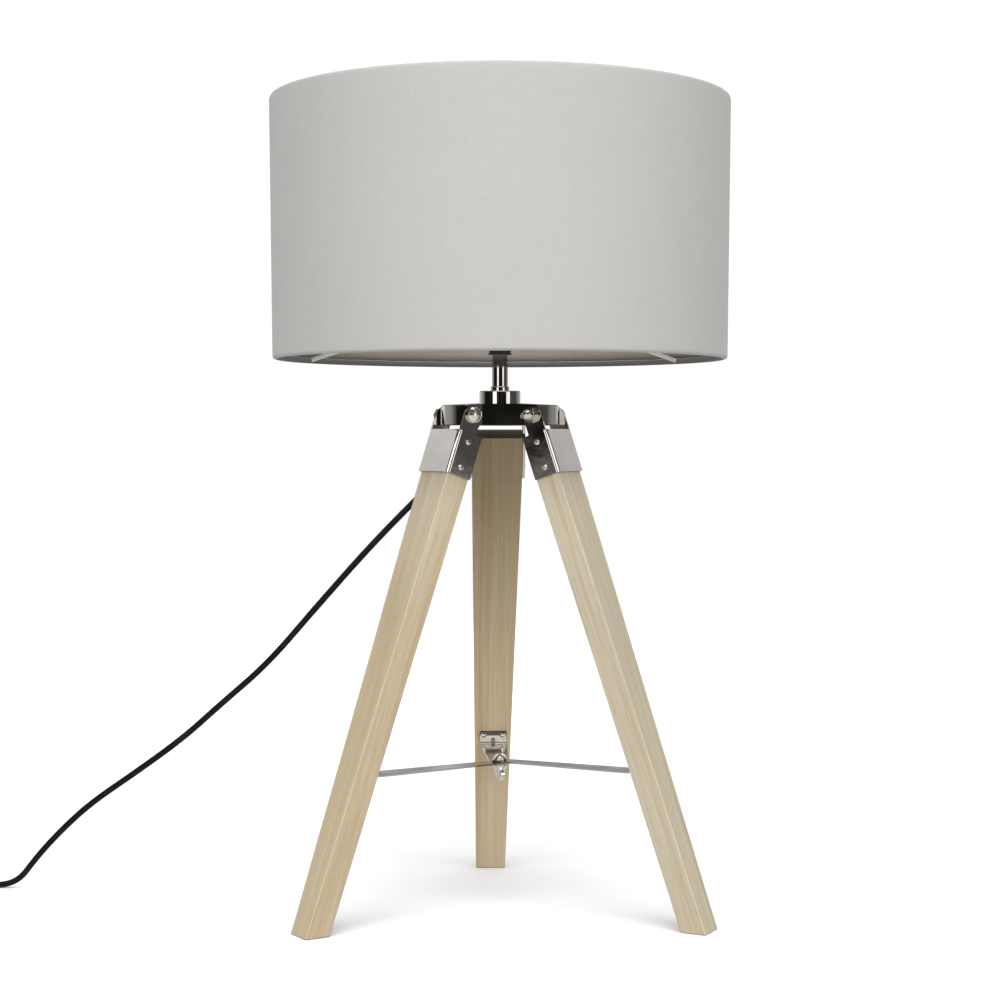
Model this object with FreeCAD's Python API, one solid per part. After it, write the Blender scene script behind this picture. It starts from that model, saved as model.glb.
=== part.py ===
import FreeCAD, Part
import math
import os

# Tripod table lamp: a drum shade on a chrome stem, a hub with three hinged wooden legs, and a
# three-armed brace. Millimetres, +Z up. The origin is on the floor below the stem, the rear leg
# points along +Y and the two front legs point 120 degrees to each side of it.

V = FreeCAD.Vector
UP = V(0, 0, 1)
ORIGIN = V(0, 0, 0)

# ---- driving dimensions ----
leg_headings = {"rear": 90.0, "left": 210.0, "right": 330.0}
third_of_turn = 120.0
half_way = 60.0
quarter_turn = 90.0
diagonal_share = math.sqrt(0.5)
end_overcut = 5.0
floor_block = 1000.0

# hub
hub_underside_z = 376.0
hub_edge_height = 15.7
hub_crown = 1.6
hub_radius = 46.0
hub_edge_chamfer = 0.6
gap_face_distance = 31.5
pivot_to_lug_corner = 3.5444

# fits
shaft_gap = 0.05
side_play = 0.15
seat_gap = 0.05

# legs
leg_tilt = 19.0
leg_thickness = 19.2
leg_width_head = 39.6
leg_width_foot = 23.9
pivot_to_outer_face = 6.1
shoulder_down = 14.0
leg_arris = 1.2
foot_arris = 0.8

# leg brackets
bracket_sheet = 2.0
bracket_length = 33.8
bracket_bend_inside = 0.6
bracket_wood_gap = 0.1
neck_half_width = 7.4
neck_round_below_pivot = 1.2
bracket_screw_first = 6.8
bracket_screw_pitch = 20.0
screw_shank_radius = 1.5
screw_head_radius = 2.3
screw_head_height = 1.1
screw_length = 14.0
screw_recess_width = 0.9
screw_recess_depth = 0.8

# pivot bolts
bolt_radius = 3.0
bolt_head_radius = 6.0
bolt_head_height = 3.6
bolt_slot_width = 1.3
bolt_slot_depth = 1.4
bolt_slot_turn = 115.0
washer_radius = 6.2
washer_thickness = 1.2
nut_corner_radius = 5.8
nut_height = 4.6
cap_dome_radius = 4.0
cap_dome_length = 5.0

# brace
brace_z = 112.6
brace_sheet = 1.2
brace_level_gap = 0.1
brace_half_width_root = 11.0
brace_half_width_tip = 7.0
brace_tab_height = 10.6
brace_bend_inside = 1.5
brace_parallel_length = 8.0
brace_rib_width = 3.0
brace_rib_size = 4.0
brace_screw_offset = 8.0
brace_screw_below_top = 3.4
brace_screw_length = 12.0
hook_slack = 0.35
hook_angle = 30.0
clamp_play = 0.35
brace_washer_radius = 6.0
brace_washer_thickness = 1.0
brace_dome_radius = 4.9
brace_dome_height = 3.6
wing_boss_radius = 5.0
wing_boss_height = 5.6
wing_boss_tip_radius = 4.0
wing_reach = 12.0
wing_drop = 5.0
wing_thickness = 2.2
wing_lobe_radius = 4.2
wing_heading = 99.0

# stem
thread_radius = 4.95
thread_bore_radius = 3.6
cup_radius = 15.8
cup_height = 9.4
cup_fillet = 0.8
cup_wall = 2.0
collar_radius = 7.2
collar_height = 3.6
tube_radius = 6.2
tube_wall = 0.9
tube_length = 24.0
hub_nut_corner_radius = 9.2
hub_nut_height = 4.0
hub_recess_radius = 11.0
hub_recess_depth = 6.0

# lampholder, for a standard 27 mm screw cap
holder_neck_radius = 8.5
holder_neck_lip = 0.6
holder_neck_height = 6.0
holder_flare_height = 10.0
holder_radius = 18.5
holder_base_height = 34.0
holder_wall = 2.0
holder_ledge_below = 6.0
holder_ledge_radius = 12.0
skirt_radius = 19.4
skirt_height = 28.0
skirt_bore_radius = 14.3
flange_radius = 23.5
flange_height = 2.5
shell_outer_radius = 14.1
shell_wall = 0.5
shell_height = 20.0
insert_radius = 14.0
insert_top_above_base = 2.8
contact_radius = 3.0
contact_height = 1.0
switch_height = 20.0
switch_radius = 2.5
switch_travel = 8.0
switch_stub = 4.0

# bulb
bulb_cap_radius = 13.2
bulb_cap_height = 24.0
bulb_cap_tip_height = 3.0
bulb_cap_tip_radius = 5.0
bulb_neck_radius = 13.6
bulb_globe_radius = 30.0
bulb_length = 106.0
bulb_glass_wall = 0.8
bulb_seat_gap = 0.1
bulb_neck_join = 30.0

# shade
shade_bottom_z = 426.7
shade_height = 199.3
shade_radius_bottom = 175.0
shade_flare = 2.0
fabric_thickness = 0.6
liner_thickness = 0.4
liner_gap = 0.05
ring_wire_radius = 1.5
hem_gap = 0.3
fitter_outer_radius = 27.0
fitter_thickness = 1.5
arm_wire_radius = 1.6
first_arm_heading = 30.0
arm_notch_gap = 0.3
retaining_outer_radius = 25.0
retaining_height = 6.0
retaining_groove_depth = 0.7
retaining_groove_width = 1.2
retaining_grooves = 24

# cord, its gland and its plug
cord_diameter = 5.0
cord_floor_gap = 0.05
cord_straight_out = 34.5
gland_to_lug_end = 22.0
gland_heading = 150.0
gland_flange_radius = 5.4
gland_flange_height = 1.4
gland_shank_radius = 4.0
gland_shank_length = 6.0
gland_ball_radius = 4.2
gland_tilt = 35.0
gland_taper_length = 20.0
gland_taper_radius = 3.9
gland_tip_radius = 2.9
cord_route = [
    V(-63.0, 23.8, 320.0),
    V(-101.0, 31.2, 281.0),
    V(-144.5, 40.3, 231.5),
    V(-182.5, 48.3, 187.0),
    V(-221.0, 56.3, 153.5),
    V(-250.5, 62.6, 126.5),
    V(-290.0, 70.7, 97.5),
    V(-326.0, 78.4, 72.5),
    V(-352.5, 83.9, 50.5),
    V(-375.0, 88.8, 27.5),
    V(-395.0, 93.8, 2.55),
    V(-423.0, 101.4, 2.55),
    V(-447.0, 105.8, 2.55),
]
arc_share = 0.45
coil_outer_radius = 36.5
coil_turn_step = 5.45
coil_half_turns_in = 5
coil_half_turns_out = 6
coil_tail = 10.0
plug_taper_length = 24.0
plug_taper_tip_radius = 2.9
plug_body_length = 34.0
plug_half_width = 17.0
plug_half_thickness = 6.85
plug_rear_half_width = 8.0
plug_edge_radius = 5.0
pin_radius = 2.0
pin_length = 19.0
pin_half_spacing = 9.1
pin_tip_radius = 0.8

# ---- derived places ----
hub_top_z = hub_underside_z + hub_edge_height + hub_crown
pivot_z = hub_underside_z + hub_edge_height / 2
bracket_inner_half = leg_width_head / 2 + bracket_wood_gap
bracket_outer_half = bracket_inner_half + bracket_sheet
lug_half_width = bracket_inner_half - side_play
lug_reach = math.sqrt(hub_radius ** 2 - lug_half_width ** 2)
pivot_radius = lug_reach - pivot_to_lug_corner
gland_distance = hub_radius - gland_to_lug_end
leg_outer_n = pivot_to_outer_face
leg_inner_n = pivot_to_outer_face - leg_thickness
plate_inner_n = leg_outer_n + bracket_wood_gap
plate_outer_n = plate_inner_n + bracket_sheet
bracket_end = shoulder_down + bracket_length
cheek_mid_n = (plate_outer_n + leg_inner_n) / 2
tilt = math.radians(leg_tilt)
leg_floor_s = (pivot_z + leg_outer_n * math.sin(tilt)) / math.cos(tilt)
cup_top_z = hub_top_z + cup_height
collar_top_z = cup_top_z + collar_height
tube_top_z = collar_top_z + tube_length
holder_z = tube_top_z
holder_base_top_z = holder_z + holder_base_height
fitter_z = holder_base_top_z + flange_height
hem_radius = ring_wire_radius + hem_gap + fabric_thickness
shade_top_z = shade_bottom_z + shade_height
shade_radius_top = shade_radius_bottom + shade_flare
bottom_ring_z = shade_bottom_z + hem_radius
top_ring_z = shade_top_z - hem_radius
bottom_ring_radius = shade_radius_bottom - hem_radius
top_ring_radius = shade_radius_top - hem_radius
cord_radius = cord_diameter / 2
brace_step = brace_sheet + brace_level_gap
brace_levels = {"rear": 0, "left": 1, "right": 2}
brace_stack_top = brace_z + 2 * brace_step + brace_sheet
bulb_tip_z = holder_base_top_z + insert_top_above_base + contact_height + bulb_seat_gap

os.makedirs("parts", exist_ok=True)
node_names = []


# ---- helpers ----
def save(name, shape):
    shape.exportStep("parts/" + name + ".step")
    node_names.append(name)


def heading_vector(heading, distance=1.0, z=0.0):
    angle = math.radians(heading)
    return V(distance * math.cos(angle), distance * math.sin(angle), z)


def turned(shape, heading):
    """A copy turned about the stem from +X to the heading."""
    copy = shape.copy()
    copy.rotate(ORIGIN, UP, heading)
    return copy


def cylinder(radius, height, base=ORIGIN, direction=UP):
    return Part.makeCylinder(radius, height, base, direction)


def ring(outer, inner, height, z):
    return cylinder(outer, height, V(0, 0, z)).cut(cylinder(inner, height, V(0, 0, z)))


def face_of(points, arcs=None):
    """A face through the points; arcs gives the middle point of each curved side by its index."""
    arcs = arcs or {}
    edges = []
    for index, start in enumerate(points):
        end = points[(index + 1) % len(points)]
        if index in arcs:
            edges.append(Part.Arc(start, arcs[index], end).toShape())
        else:
            edges.append(Part.LineSegment(start, end).toShape())
    return Part.Face(Part.Wire(edges))


def revolved(points, arcs=None):
    """Turns an outline given as (radius, z) pairs about the stem axis."""
    arcs = {index: V(mid[0], 0, mid[1]) for index, mid in (arcs or {}).items()}
    return face_of([V(r, 0, z) for r, z in points], arcs).revolve(ORIGIN, UP, 360)


def hexagon(corner_radius, height):
    points = [heading_vector(half_way * side, corner_radius) for side in range(6)]
    return face_of(points).extrude(V(0, 0, height))


def leg_place(shape):
    """Moves a piece from leg coordinates (X outward, Y across, Z up the leg; pivot at zero)."""
    copy = shape.copy()
    copy.rotate(ORIGIN, V(0, 1, 0), -leg_tilt)
    copy.translate(V(pivot_radius, 0, pivot_z))
    return copy


def domed_head(radius, height, rim):
    """A round head standing up from zero: a short rim, then a dome."""
    rise = height - rim
    sphere = (radius * radius + rise * rise) / (2 * rise)
    angle = math.asin(radius / sphere) / 2
    middle = (sphere * math.sin(angle), height - sphere * (1 - math.cos(angle)))
    return revolved([(0, 0), (radius, 0), (radius, rim), (0, height)], {2: middle})


def cross_screw(head_radius, head_height, shank_radius, length):
    """A cross-head screw standing up from zero, with its shank below."""
    head = domed_head(head_radius, head_height, head_height / 3)
    screw = head.fuse(cylinder(shank_radius, length, V(0, 0, -length)))
    for turn in (0, quarter_turn):
        bar = Part.makeBox(head_radius, screw_recess_width, head_height)
        bar.translate(V(-head_radius / 2, -screw_recess_width / 2, head_height - screw_recess_depth))
        bar.rotate(ORIGIN, UP, turn)
        screw = screw.cut(bar)
    return screw


def arc_between(start, corner, end):
    """A round arc from start to end, tangent at both to the lines that meet at the corner."""
    middle = (start + end) * 0.5
    half_chord = (end - start).Length / 2
    reach = (corner - start).Length
    depth = (middle - corner).Length
    gap = reach * (reach - half_chord) / depth if half_chord < reach else 0.0
    point = corner + (middle - corner) * (1 - (depth - gap) / depth)
    return Part.Arc(start, point, end).toShape()


def biarc(start, start_way, end, end_way):
    """Two arcs of equal reach that join two points and follow both given directions."""
    span = end - start
    bend = 2 * (start_way.dot(end_way) - 1)
    along = span.dot(start_way + end_way)
    reach = (along - math.sqrt(along * along - bend * span.dot(span))) / bend
    first = start + start_way * reach
    last = end - end_way * reach
    joint = (first + last) * 0.5
    return [arc_between(start, first, joint), arc_between(joint, last, end)]


def swept(edges, start, way, radius):
    """A round tube along the edges, which start at the point in the direction given."""
    circle = Part.Wire([Part.makeCircle(radius, start, way)])
    return Part.Wire(edges).makePipeShell([circle], True, False)


# ---- hub and stem ----
def hub_outline():
    """Three lugs with parallel sides and round ends, joined by flat gap faces."""
    gap_half = (gap_face_distance * math.sin(math.radians(half_way)) - lug_half_width) * 2
    points = []
    arcs = {}
    for heading in leg_headings.values():
        across = heading_vector(heading + quarter_turn)
        arcs[len(points)] = heading_vector(heading, hub_radius)
        points.append(heading_vector(heading, lug_reach) - across * lug_half_width)
        points.append(heading_vector(heading, lug_reach) + across * lug_half_width)
        gap_heading = heading + half_way
        for side in (-1, 1):
            corner = heading_vector(gap_heading, gap_face_distance)
            points.append(corner + heading_vector(gap_heading + quarter_turn) * gap_half * side)
    return points, arcs


def make_hub():
    points, arcs = hub_outline()
    height = hub_edge_height + hub_crown
    blank = face_of(points, arcs).extrude(V(0, 0, height))
    edge_top = hub_edge_height
    crowned = revolved([
        (0, 0),
        (hub_radius - hub_edge_chamfer, 0),
        (hub_radius + end_overcut, hub_edge_chamfer + end_overcut),
        (hub_radius + end_overcut, edge_top - hub_edge_chamfer - end_overcut),
        (hub_radius - hub_edge_chamfer, edge_top),
        (cup_radius, height),
        (0, height),
    ])
    hub = blank.common(crowned)
    hub.translate(V(0, 0, hub_underside_z))
    hub = hub.cut(cylinder(thread_radius + shaft_gap, height, V(0, 0, hub_underside_z)))
    hub = hub.cut(cylinder(hub_recess_radius, hub_recess_depth, V(0, 0, hub_underside_z)))
    for heading in leg_headings.values():
        across = heading_vector(heading + quarter_turn)
        start = heading_vector(heading, pivot_radius, pivot_z) - across * hub_radius
        bore = cylinder(bolt_radius + shaft_gap, 2 * hub_radius, start, across)
        hub = hub.cut(bore)
    gland_top = hub_underside_z + gland_shank_length + seat_gap
    foot = heading_vector(gland_heading, gland_distance, hub_underside_z)
    hub = hub.cut(cylinder(gland_shank_radius + shaft_gap, gland_top - hub_underside_z, foot))
    hub = hub.cut(cylinder(cord_radius, cord_diameter, V(foot.x, foot.y, gland_top)))
    channel = V(0, 0, gland_top + cord_radius)
    return hub.cut(cylinder(cord_radius, gland_distance, channel, heading_vector(gland_heading)))


def make_threaded_tube():
    bottom = hub_underside_z + hub_recess_depth - hub_nut_height - seat_gap
    top = holder_z + holder_neck_height
    tube = ring(thread_radius, thread_bore_radius, top - bottom, bottom)
    channel = V(0, 0, hub_underside_z + gland_shank_length + seat_gap + cord_radius)
    return tube.cut(cylinder(cord_radius, thread_radius * 2, channel, heading_vector(gland_heading)))


def make_hub_nut():
    nut = hexagon(hub_nut_corner_radius, hub_nut_height)
    nut.translate(V(0, 0, hub_underside_z + hub_recess_depth - hub_nut_height))
    bottom = hub_underside_z
    return nut.cut(cylinder(thread_radius + shaft_gap, hub_recess_depth, V(0, 0, bottom)))


def make_stem():
    cup = ring(cup_radius, thread_radius + shaft_gap, cup_height, hub_top_z)
    cup = cup.cut(ring(cup_radius - cup_wall, thread_radius + cup_wall, cup_height - cup_wall, hub_top_z))
    top_edges = [edge for edge in cup.Edges if is_rim(edge, cup_top_z, cup_radius)]
    cup = cup.makeFillet(cup_fillet, top_edges)
    save("stem_cup", cup)
    collar = ring(collar_radius, thread_radius + shaft_gap, collar_height, cup_top_z)
    collar_edges = [edge for edge in collar.Edges if is_rim(edge, collar_top_z, collar_radius)]
    save("stem_collar", collar.makeFillet(cup_fillet, collar_edges))
    save("stem_tube", ring(tube_radius, tube_radius - tube_wall, tube_length, collar_top_z))


def is_rim(edge, z, radius):
    """Whether the edge is the circle of that radius at that height."""
    box = edge.BoundBox
    flat = abs(box.ZMin - z) < seat_gap and abs(box.ZMax - z) < seat_gap
    return flat and abs(box.XMax - radius) < seat_gap


# ---- lampholder and bulb ----
def make_lampholder():
    neck_top = holder_z + holder_neck_height
    flare_top = neck_top + holder_flare_height
    ledge_z = holder_base_top_z - holder_ledge_below
    wide_bore = holder_radius - holder_wall
    base = revolved([
        (thread_radius + shaft_gap, holder_z),
        (holder_neck_radius + holder_neck_lip, holder_z),
        (holder_neck_radius + holder_neck_lip, holder_z + 2 * holder_neck_lip),
        (holder_neck_radius, holder_z + 2 * holder_neck_lip),
        (holder_neck_radius, neck_top),
        (holder_radius, flare_top),
        (holder_radius, holder_base_top_z),
        (wide_bore, holder_base_top_z),
        (wide_bore, ledge_z),
        (holder_ledge_radius, ledge_z),
        (holder_ledge_radius, flare_top),
        (thread_radius + shaft_gap, neck_top),
    ])
    span = 2 * (holder_radius + end_overcut)
    bore_start = V(-span / 2, 0, holder_z + switch_height)
    save("lampholder_base", base.cut(cylinder(switch_radius + shaft_gap, span, bore_start, V(1, 0, 0))))
    length = 2 * (holder_radius + switch_stub) + switch_travel
    bar_start = V(-holder_radius - switch_stub, 0, holder_z + switch_height)
    bar = cylinder(switch_radius, length, bar_start, V(1, 0, 0))
    save("switch_bar", bar.makeFillet(switch_radius / 3, [e for e in bar.Edges if e.Length < length / 2]))
    skirt = revolved([
        (skirt_bore_radius, holder_base_top_z),
        (flange_radius, holder_base_top_z),
        (flange_radius, fitter_z),
        (skirt_radius, fitter_z),
        (skirt_radius, holder_base_top_z + skirt_height),
        (skirt_bore_radius, holder_base_top_z + skirt_height),
    ])
    save("lampholder_skirt", skirt)
    insert_top = holder_base_top_z + insert_top_above_base
    insert = cylinder(insert_radius, insert_top - ledge_z, V(0, 0, ledge_z))
    save("lampholder_insert", insert.fuse(cylinder(contact_radius, contact_height, V(0, 0, insert_top))))
    shell = ring(shell_outer_radius, shell_outer_radius - shell_wall, shell_height, insert_top)
    save("lampholder_shell", shell)


def make_bulb():
    cap_base = bulb_tip_z + bulb_cap_tip_height
    cap_top = bulb_tip_z + bulb_cap_height
    cap = revolved([
        (0, bulb_tip_z),
        (bulb_cap_tip_radius, bulb_tip_z),
        (bulb_cap_radius, cap_base),
        (bulb_cap_radius, cap_top),
        (0, cap_top),
    ])
    save("bulb_cap", cap)
    top = bulb_tip_z + bulb_length
    centre_z = top - bulb_globe_radius
    join = math.radians(bulb_neck_join)
    join_point = (bulb_globe_radius * math.cos(join), centre_z - bulb_globe_radius * math.sin(join))
    side_point = (bulb_globe_radius * math.cos(join), centre_z + bulb_globe_radius * math.sin(join))

    def outline(inset):
        centre_shift = 1 - inset / bulb_globe_radius
        shoulder = (join_point[0] * centre_shift, centre_z + (join_point[1] - centre_z) * centre_shift)
        crest = (0, top - inset)
        middle = (side_point[0] * centre_shift, centre_z + (side_point[1] - centre_z) * centre_shift)
        neck = bulb_neck_radius - inset
        return revolved([(0, cap_top + inset), (neck, cap_top + inset), shoulder, crest], {2: middle})

    save("bulb_glass", outline(0.0).cut(outline(bulb_glass_wall)))


# ---- shade ----
def shade_outer_radius(z):
    share = (z - bottom_ring_z) / (top_ring_z - bottom_ring_z)
    return shade_radius_bottom + shade_flare * share


def hem_outline(centre_r, centre_z, rising):
    """The rolled hem: three quarters of a thin ring round the frame wire."""
    outer = hem_radius
    inner = hem_radius - fabric_thickness
    way = 1 if rising else -1
    points = [
        (centre_r + outer, centre_z),
        (centre_r, centre_z + way * outer),
        (centre_r - outer, centre_z),
        (centre_r, centre_z - way * outer),
        (centre_r, centre_z - way * inner),
        (centre_r - inner, centre_z),
        (centre_r, centre_z + way * inner),
        (centre_r + inner, centre_z),
    ]
    arcs = {
        0: (centre_r + outer * diagonal_share, centre_z + way * outer * diagonal_share),
        1: (centre_r - outer * diagonal_share, centre_z + way * outer * diagonal_share),
        2: (centre_r - outer * diagonal_share, centre_z - way * outer * diagonal_share),
        4: (centre_r - inner * diagonal_share, centre_z - way * inner * diagonal_share),
        5: (centre_r - inner * diagonal_share, centre_z + way * inner * diagonal_share),
        6: (centre_r + inner * diagonal_share, centre_z + way * inner * diagonal_share),
    }
    return revolved(points, arcs)


def make_arm(heading):
    """One spider arm, from the fitter ring's edge to the bottom ring's wire."""
    inner = V(fitter_outer_radius, 0, fitter_z + fitter_thickness / 2)
    outer = V(bottom_ring_radius, 0, bottom_ring_z)
    way = outer - inner
    rod = cylinder(arm_wire_radius, way.Length, inner, way)
    return turned(rod, heading)


def make_shade():
    wall = revolved([
        (shade_radius_bottom, bottom_ring_z),
        (shade_radius_top, top_ring_z),
        (shade_radius_top - fabric_thickness, top_ring_z),
        (shade_radius_bottom - fabric_thickness, bottom_ring_z),
    ])
    fabric = wall.fuse(hem_outline(bottom_ring_radius, bottom_ring_z, False))
    fabric = fabric.fuse(hem_outline(top_ring_radius, top_ring_z, True))
    liner_out = fabric_thickness + liner_gap
    liner_in = liner_out + liner_thickness
    low = bottom_ring_z + hem_radius
    high = top_ring_z - hem_radius
    liner = revolved([
        (shade_outer_radius(low) - liner_out, low),
        (shade_outer_radius(high) - liner_out, high),
        (shade_outer_radius(high) - liner_in, high),
        (shade_outer_radius(low) - liner_in, low),
    ])
    bottom_ring = Part.makeTorus(bottom_ring_radius, ring_wire_radius, V(0, 0, bottom_ring_z))
    top_ring = Part.makeTorus(top_ring_radius, ring_wire_radius, V(0, 0, top_ring_z))
    fitter = ring(fitter_outer_radius, skirt_radius + 2 * shaft_gap, fitter_thickness, fitter_z)
    for index in range(3):
        heading = first_arm_heading + index * third_of_turn
        rod = make_arm(heading)
        notch_start = heading_vector(heading, fitter_outer_radius, fitter_z + fitter_thickness / 2)
        notch_end = heading_vector(heading, bottom_ring_radius, bottom_ring_z)
        notch_way = notch_end - notch_start
        notch = cylinder(arm_wire_radius + arm_notch_gap, notch_way.Length, notch_start, notch_way)
        fabric = fabric.cut(notch)
        save("shade_arm_%d" % (index + 1), rod.cut(bottom_ring).cut(fitter))
    save("shade_fabric", fabric)
    save("shade_liner", liner)
    save("shade_bottom_ring", bottom_ring)
    save("shade_top_ring", top_ring)
    save("shade_fitter_ring", fitter)


def make_retaining_ring():
    bottom = fitter_z + fitter_thickness
    body = ring(retaining_outer_radius, skirt_radius + shaft_gap, retaining_height, bottom + seat_gap)
    for index in range(retaining_grooves):
        heading = index * 360.0 / retaining_grooves
        groove = cylinder(retaining_groove_width, retaining_height + 2 * seat_gap,
                          heading_vector(heading, retaining_outer_radius + retaining_groove_width
                                         - retaining_groove_depth, bottom))
        body = body.cut(groove)
    save("shade_retaining_ring", body)


# ---- legs ----
def leg_wood(heading):
    """The wooden leg, parallel inside its bracket and then tapered, cut flat on the floor."""
    top = -shoulder_down
    bend = -bracket_end
    end = -leg_floor_s - end_overcut
    head = leg_width_head / 2
    foot = leg_width_foot / 2
    slope = (head - foot) / (leg_floor_s - bracket_end)
    tip = foot - slope * end_overcut
    outline = [
        V(leg_inner_n, -head, top), V(leg_inner_n, head, top), V(leg_inner_n, head, bend),
        V(leg_inner_n, tip, end), V(leg_inner_n, -tip, end), V(leg_inner_n, -head, bend),
    ]
    wood = face_of(outline).extrude(V(leg_thickness, 0, 0))
    long_edges = [e for e in wood.Edges if e.Length > bracket_length - seat_gap and is_along(e)]
    wood = wood.makeFillet(leg_arris, long_edges)
    wood = leg_place(wood)
    corner = V(-floor_block / 2, -floor_block / 2, -floor_block)
    wood = wood.cut(Part.makeBox(floor_block, floor_block, floor_block, corner))
    foot_edges = [e for e in wood.Edges if e.BoundBox.ZMax < seat_gap]
    wood = wood.makeChamfer(foot_arris, foot_edges)
    return turned(wood, heading)


def is_along(edge):
    """Whether an edge of the wood runs down the leg."""
    box = edge.BoundBox
    return box.ZLength > box.XLength and box.ZLength > box.YLength


def bracket_screw_places():
    for step in (0, 1):
        yield shoulder_down + bracket_screw_first + step * bracket_screw_pitch


def cheek_screw_shafts(radius, length, start):
    """Plain shafts on every cheek screw axis, used for the screws' holes."""
    for along in bracket_screw_places():
        for side in (-1, 1):
            yield cylinder(radius, length, V(cheek_mid_n, side * start, -along), V(0, -side, 0))


def leg_bracket(heading):
    """A folded channel over the leg's head, with a rounded neck on each cheek."""
    inner_r = bracket_bend_inside
    outer_r = bracket_bend_inside + bracket_sheet
    end_z = -bracket_end
    points = [
        V(leg_inner_n, -bracket_outer_half, end_z),
        V(plate_outer_n, -bracket_outer_half, end_z),
        V(plate_outer_n, bracket_outer_half, end_z),
        V(leg_inner_n, bracket_outer_half, end_z),
        V(leg_inner_n, bracket_inner_half, end_z),
        V(plate_inner_n, bracket_inner_half, end_z),
        V(plate_inner_n, -bracket_inner_half, end_z),
        V(leg_inner_n, -bracket_inner_half, end_z),
    ]
    channel = face_of(points).extrude(V(0, 0, bracket_length))
    for corner_n, half, radius in ((plate_outer_n, bracket_outer_half, outer_r),
                                   (plate_inner_n, bracket_inner_half, inner_r)):
        corners = [e for e in channel.Edges if is_upright_at(e, corner_n, half)]
        channel = channel.makeFillet(radius, corners)
    round_z = -neck_round_below_pivot
    neck_face = face_of(
        [V(-neck_half_width, 0, -shoulder_down), V(-neck_half_width, 0, round_z),
         V(neck_half_width, 0, round_z), V(neck_half_width, 0, -shoulder_down)],
        {1: V(0, 0, round_z + neck_half_width)})
    neck = neck_face.extrude(V(0, bracket_sheet, 0))
    for start in (-bracket_outer_half, bracket_inner_half):
        side_neck = neck.copy()
        side_neck.translate(V(0, start, 0))
        channel = channel.fuse(side_neck)
    bore = V(0, -bracket_outer_half, 0)
    channel = channel.cut(cylinder(bolt_radius + shaft_gap, 2 * bracket_outer_half, bore, V(0, 1, 0)))
    for hole in cheek_screw_shafts(screw_shank_radius + shaft_gap, bracket_sheet, bracket_outer_half):
        channel = channel.cut(hole)
    return turned(leg_place(channel.removeSplitter()), heading)


def is_upright_at(edge, n, half):
    """Whether an edge of the channel runs up the leg at the given outward and side places."""
    box = edge.BoundBox
    near = abs(box.XMin - n) < seat_gap and abs(abs(box.YMin) - half) < seat_gap
    return near and box.ZLength > bracket_length / 2


def bracket_screws(heading):
    screws = []
    base = cross_screw(screw_head_radius, screw_head_height, screw_shank_radius, screw_length)
    for along in bracket_screw_places():
        for side in (-1, 1):
            screw = base.copy()
            screw.rotate(ORIGIN, V(1, 0, 0), -side * quarter_turn)
            screw.translate(V(cheek_mid_n, side * bracket_outer_half, -along))
            screws.append(turned(leg_place(screw), heading))
    return Part.makeCompound(screws)


def make_pivot(name, heading):
    """The slotted bolt on one side of the leg, the capped nut on the other and both washers."""
    washer_start = bracket_outer_half + seat_gap
    head_start = washer_start + washer_thickness + seat_gap
    bolt = domed_head(bolt_head_radius, bolt_head_height, bolt_head_height / 3)
    slot = Part.makeBox(2 * bolt_head_radius, bolt_slot_width, bolt_head_height)
    slot.translate(V(-bolt_head_radius, -bolt_slot_width / 2, bolt_head_height - bolt_slot_depth))
    slot.rotate(ORIGIN, UP, bolt_slot_turn)
    bolt = bolt.cut(slot)
    shank = 2 * head_start + nut_height + cap_dome_length - cap_dome_radius
    bolt = bolt.fuse(cylinder(bolt_radius, shank, V(0, 0, -shank)))
    nut = hexagon(nut_corner_radius, nut_height)
    nut = nut.common(domed_head(nut_corner_radius, nut_height + nut_height / 2, nut_height))
    nut = nut.fuse(cap_dome(nut_height))
    nut = nut.cut(cylinder(bolt_radius + shaft_gap, nut_height + cap_dome_length - cap_dome_radius))
    pair = []
    for side, piece in ((1, bolt), (-1, nut)):
        placed = piece.copy()
        placed.rotate(ORIGIN, V(1, 0, 0), -side * quarter_turn)
        placed.translate(V(pivot_radius, side * head_start, pivot_z))
        pair.append(turned(placed, heading))
    save("pivot_bolt_" + name, pair[0])
    save("pivot_nut_" + name, pair[1])
    washers = []
    for side in (-1, 1):
        place = V(pivot_radius, side * washer_start, pivot_z)
        washer = cylinder(washer_radius, washer_thickness, place, V(0, side, 0))
        washer = washer.cut(cylinder(bolt_radius + shaft_gap, washer_thickness, place, V(0, side, 0)))
        washers.append(turned(washer, heading))
    save("pivot_washers_" + name, Part.makeCompound(washers))


def cap_dome(base):
    """The capped end of a domed nut, standing on the given height."""
    straight = cap_dome_length - cap_dome_radius
    barrel = cylinder(cap_dome_radius, straight, V(0, 0, base))
    ball = Part.makeSphere(cap_dome_radius, V(0, 0, base + straight))
    keep = cylinder(cap_dome_radius, cap_dome_radius + straight, V(0, 0, base))
    return barrel.fuse(ball.common(keep))


# ---- brace ----
def inner_face_radius(z):
    """Distance from the stem axis to the leg's inner face at a height."""
    along = (pivot_z - z + leg_inner_n * math.sin(tilt)) / math.cos(tilt)
    return pivot_radius + along * math.sin(tilt) + leg_inner_n * math.cos(tilt)


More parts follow.
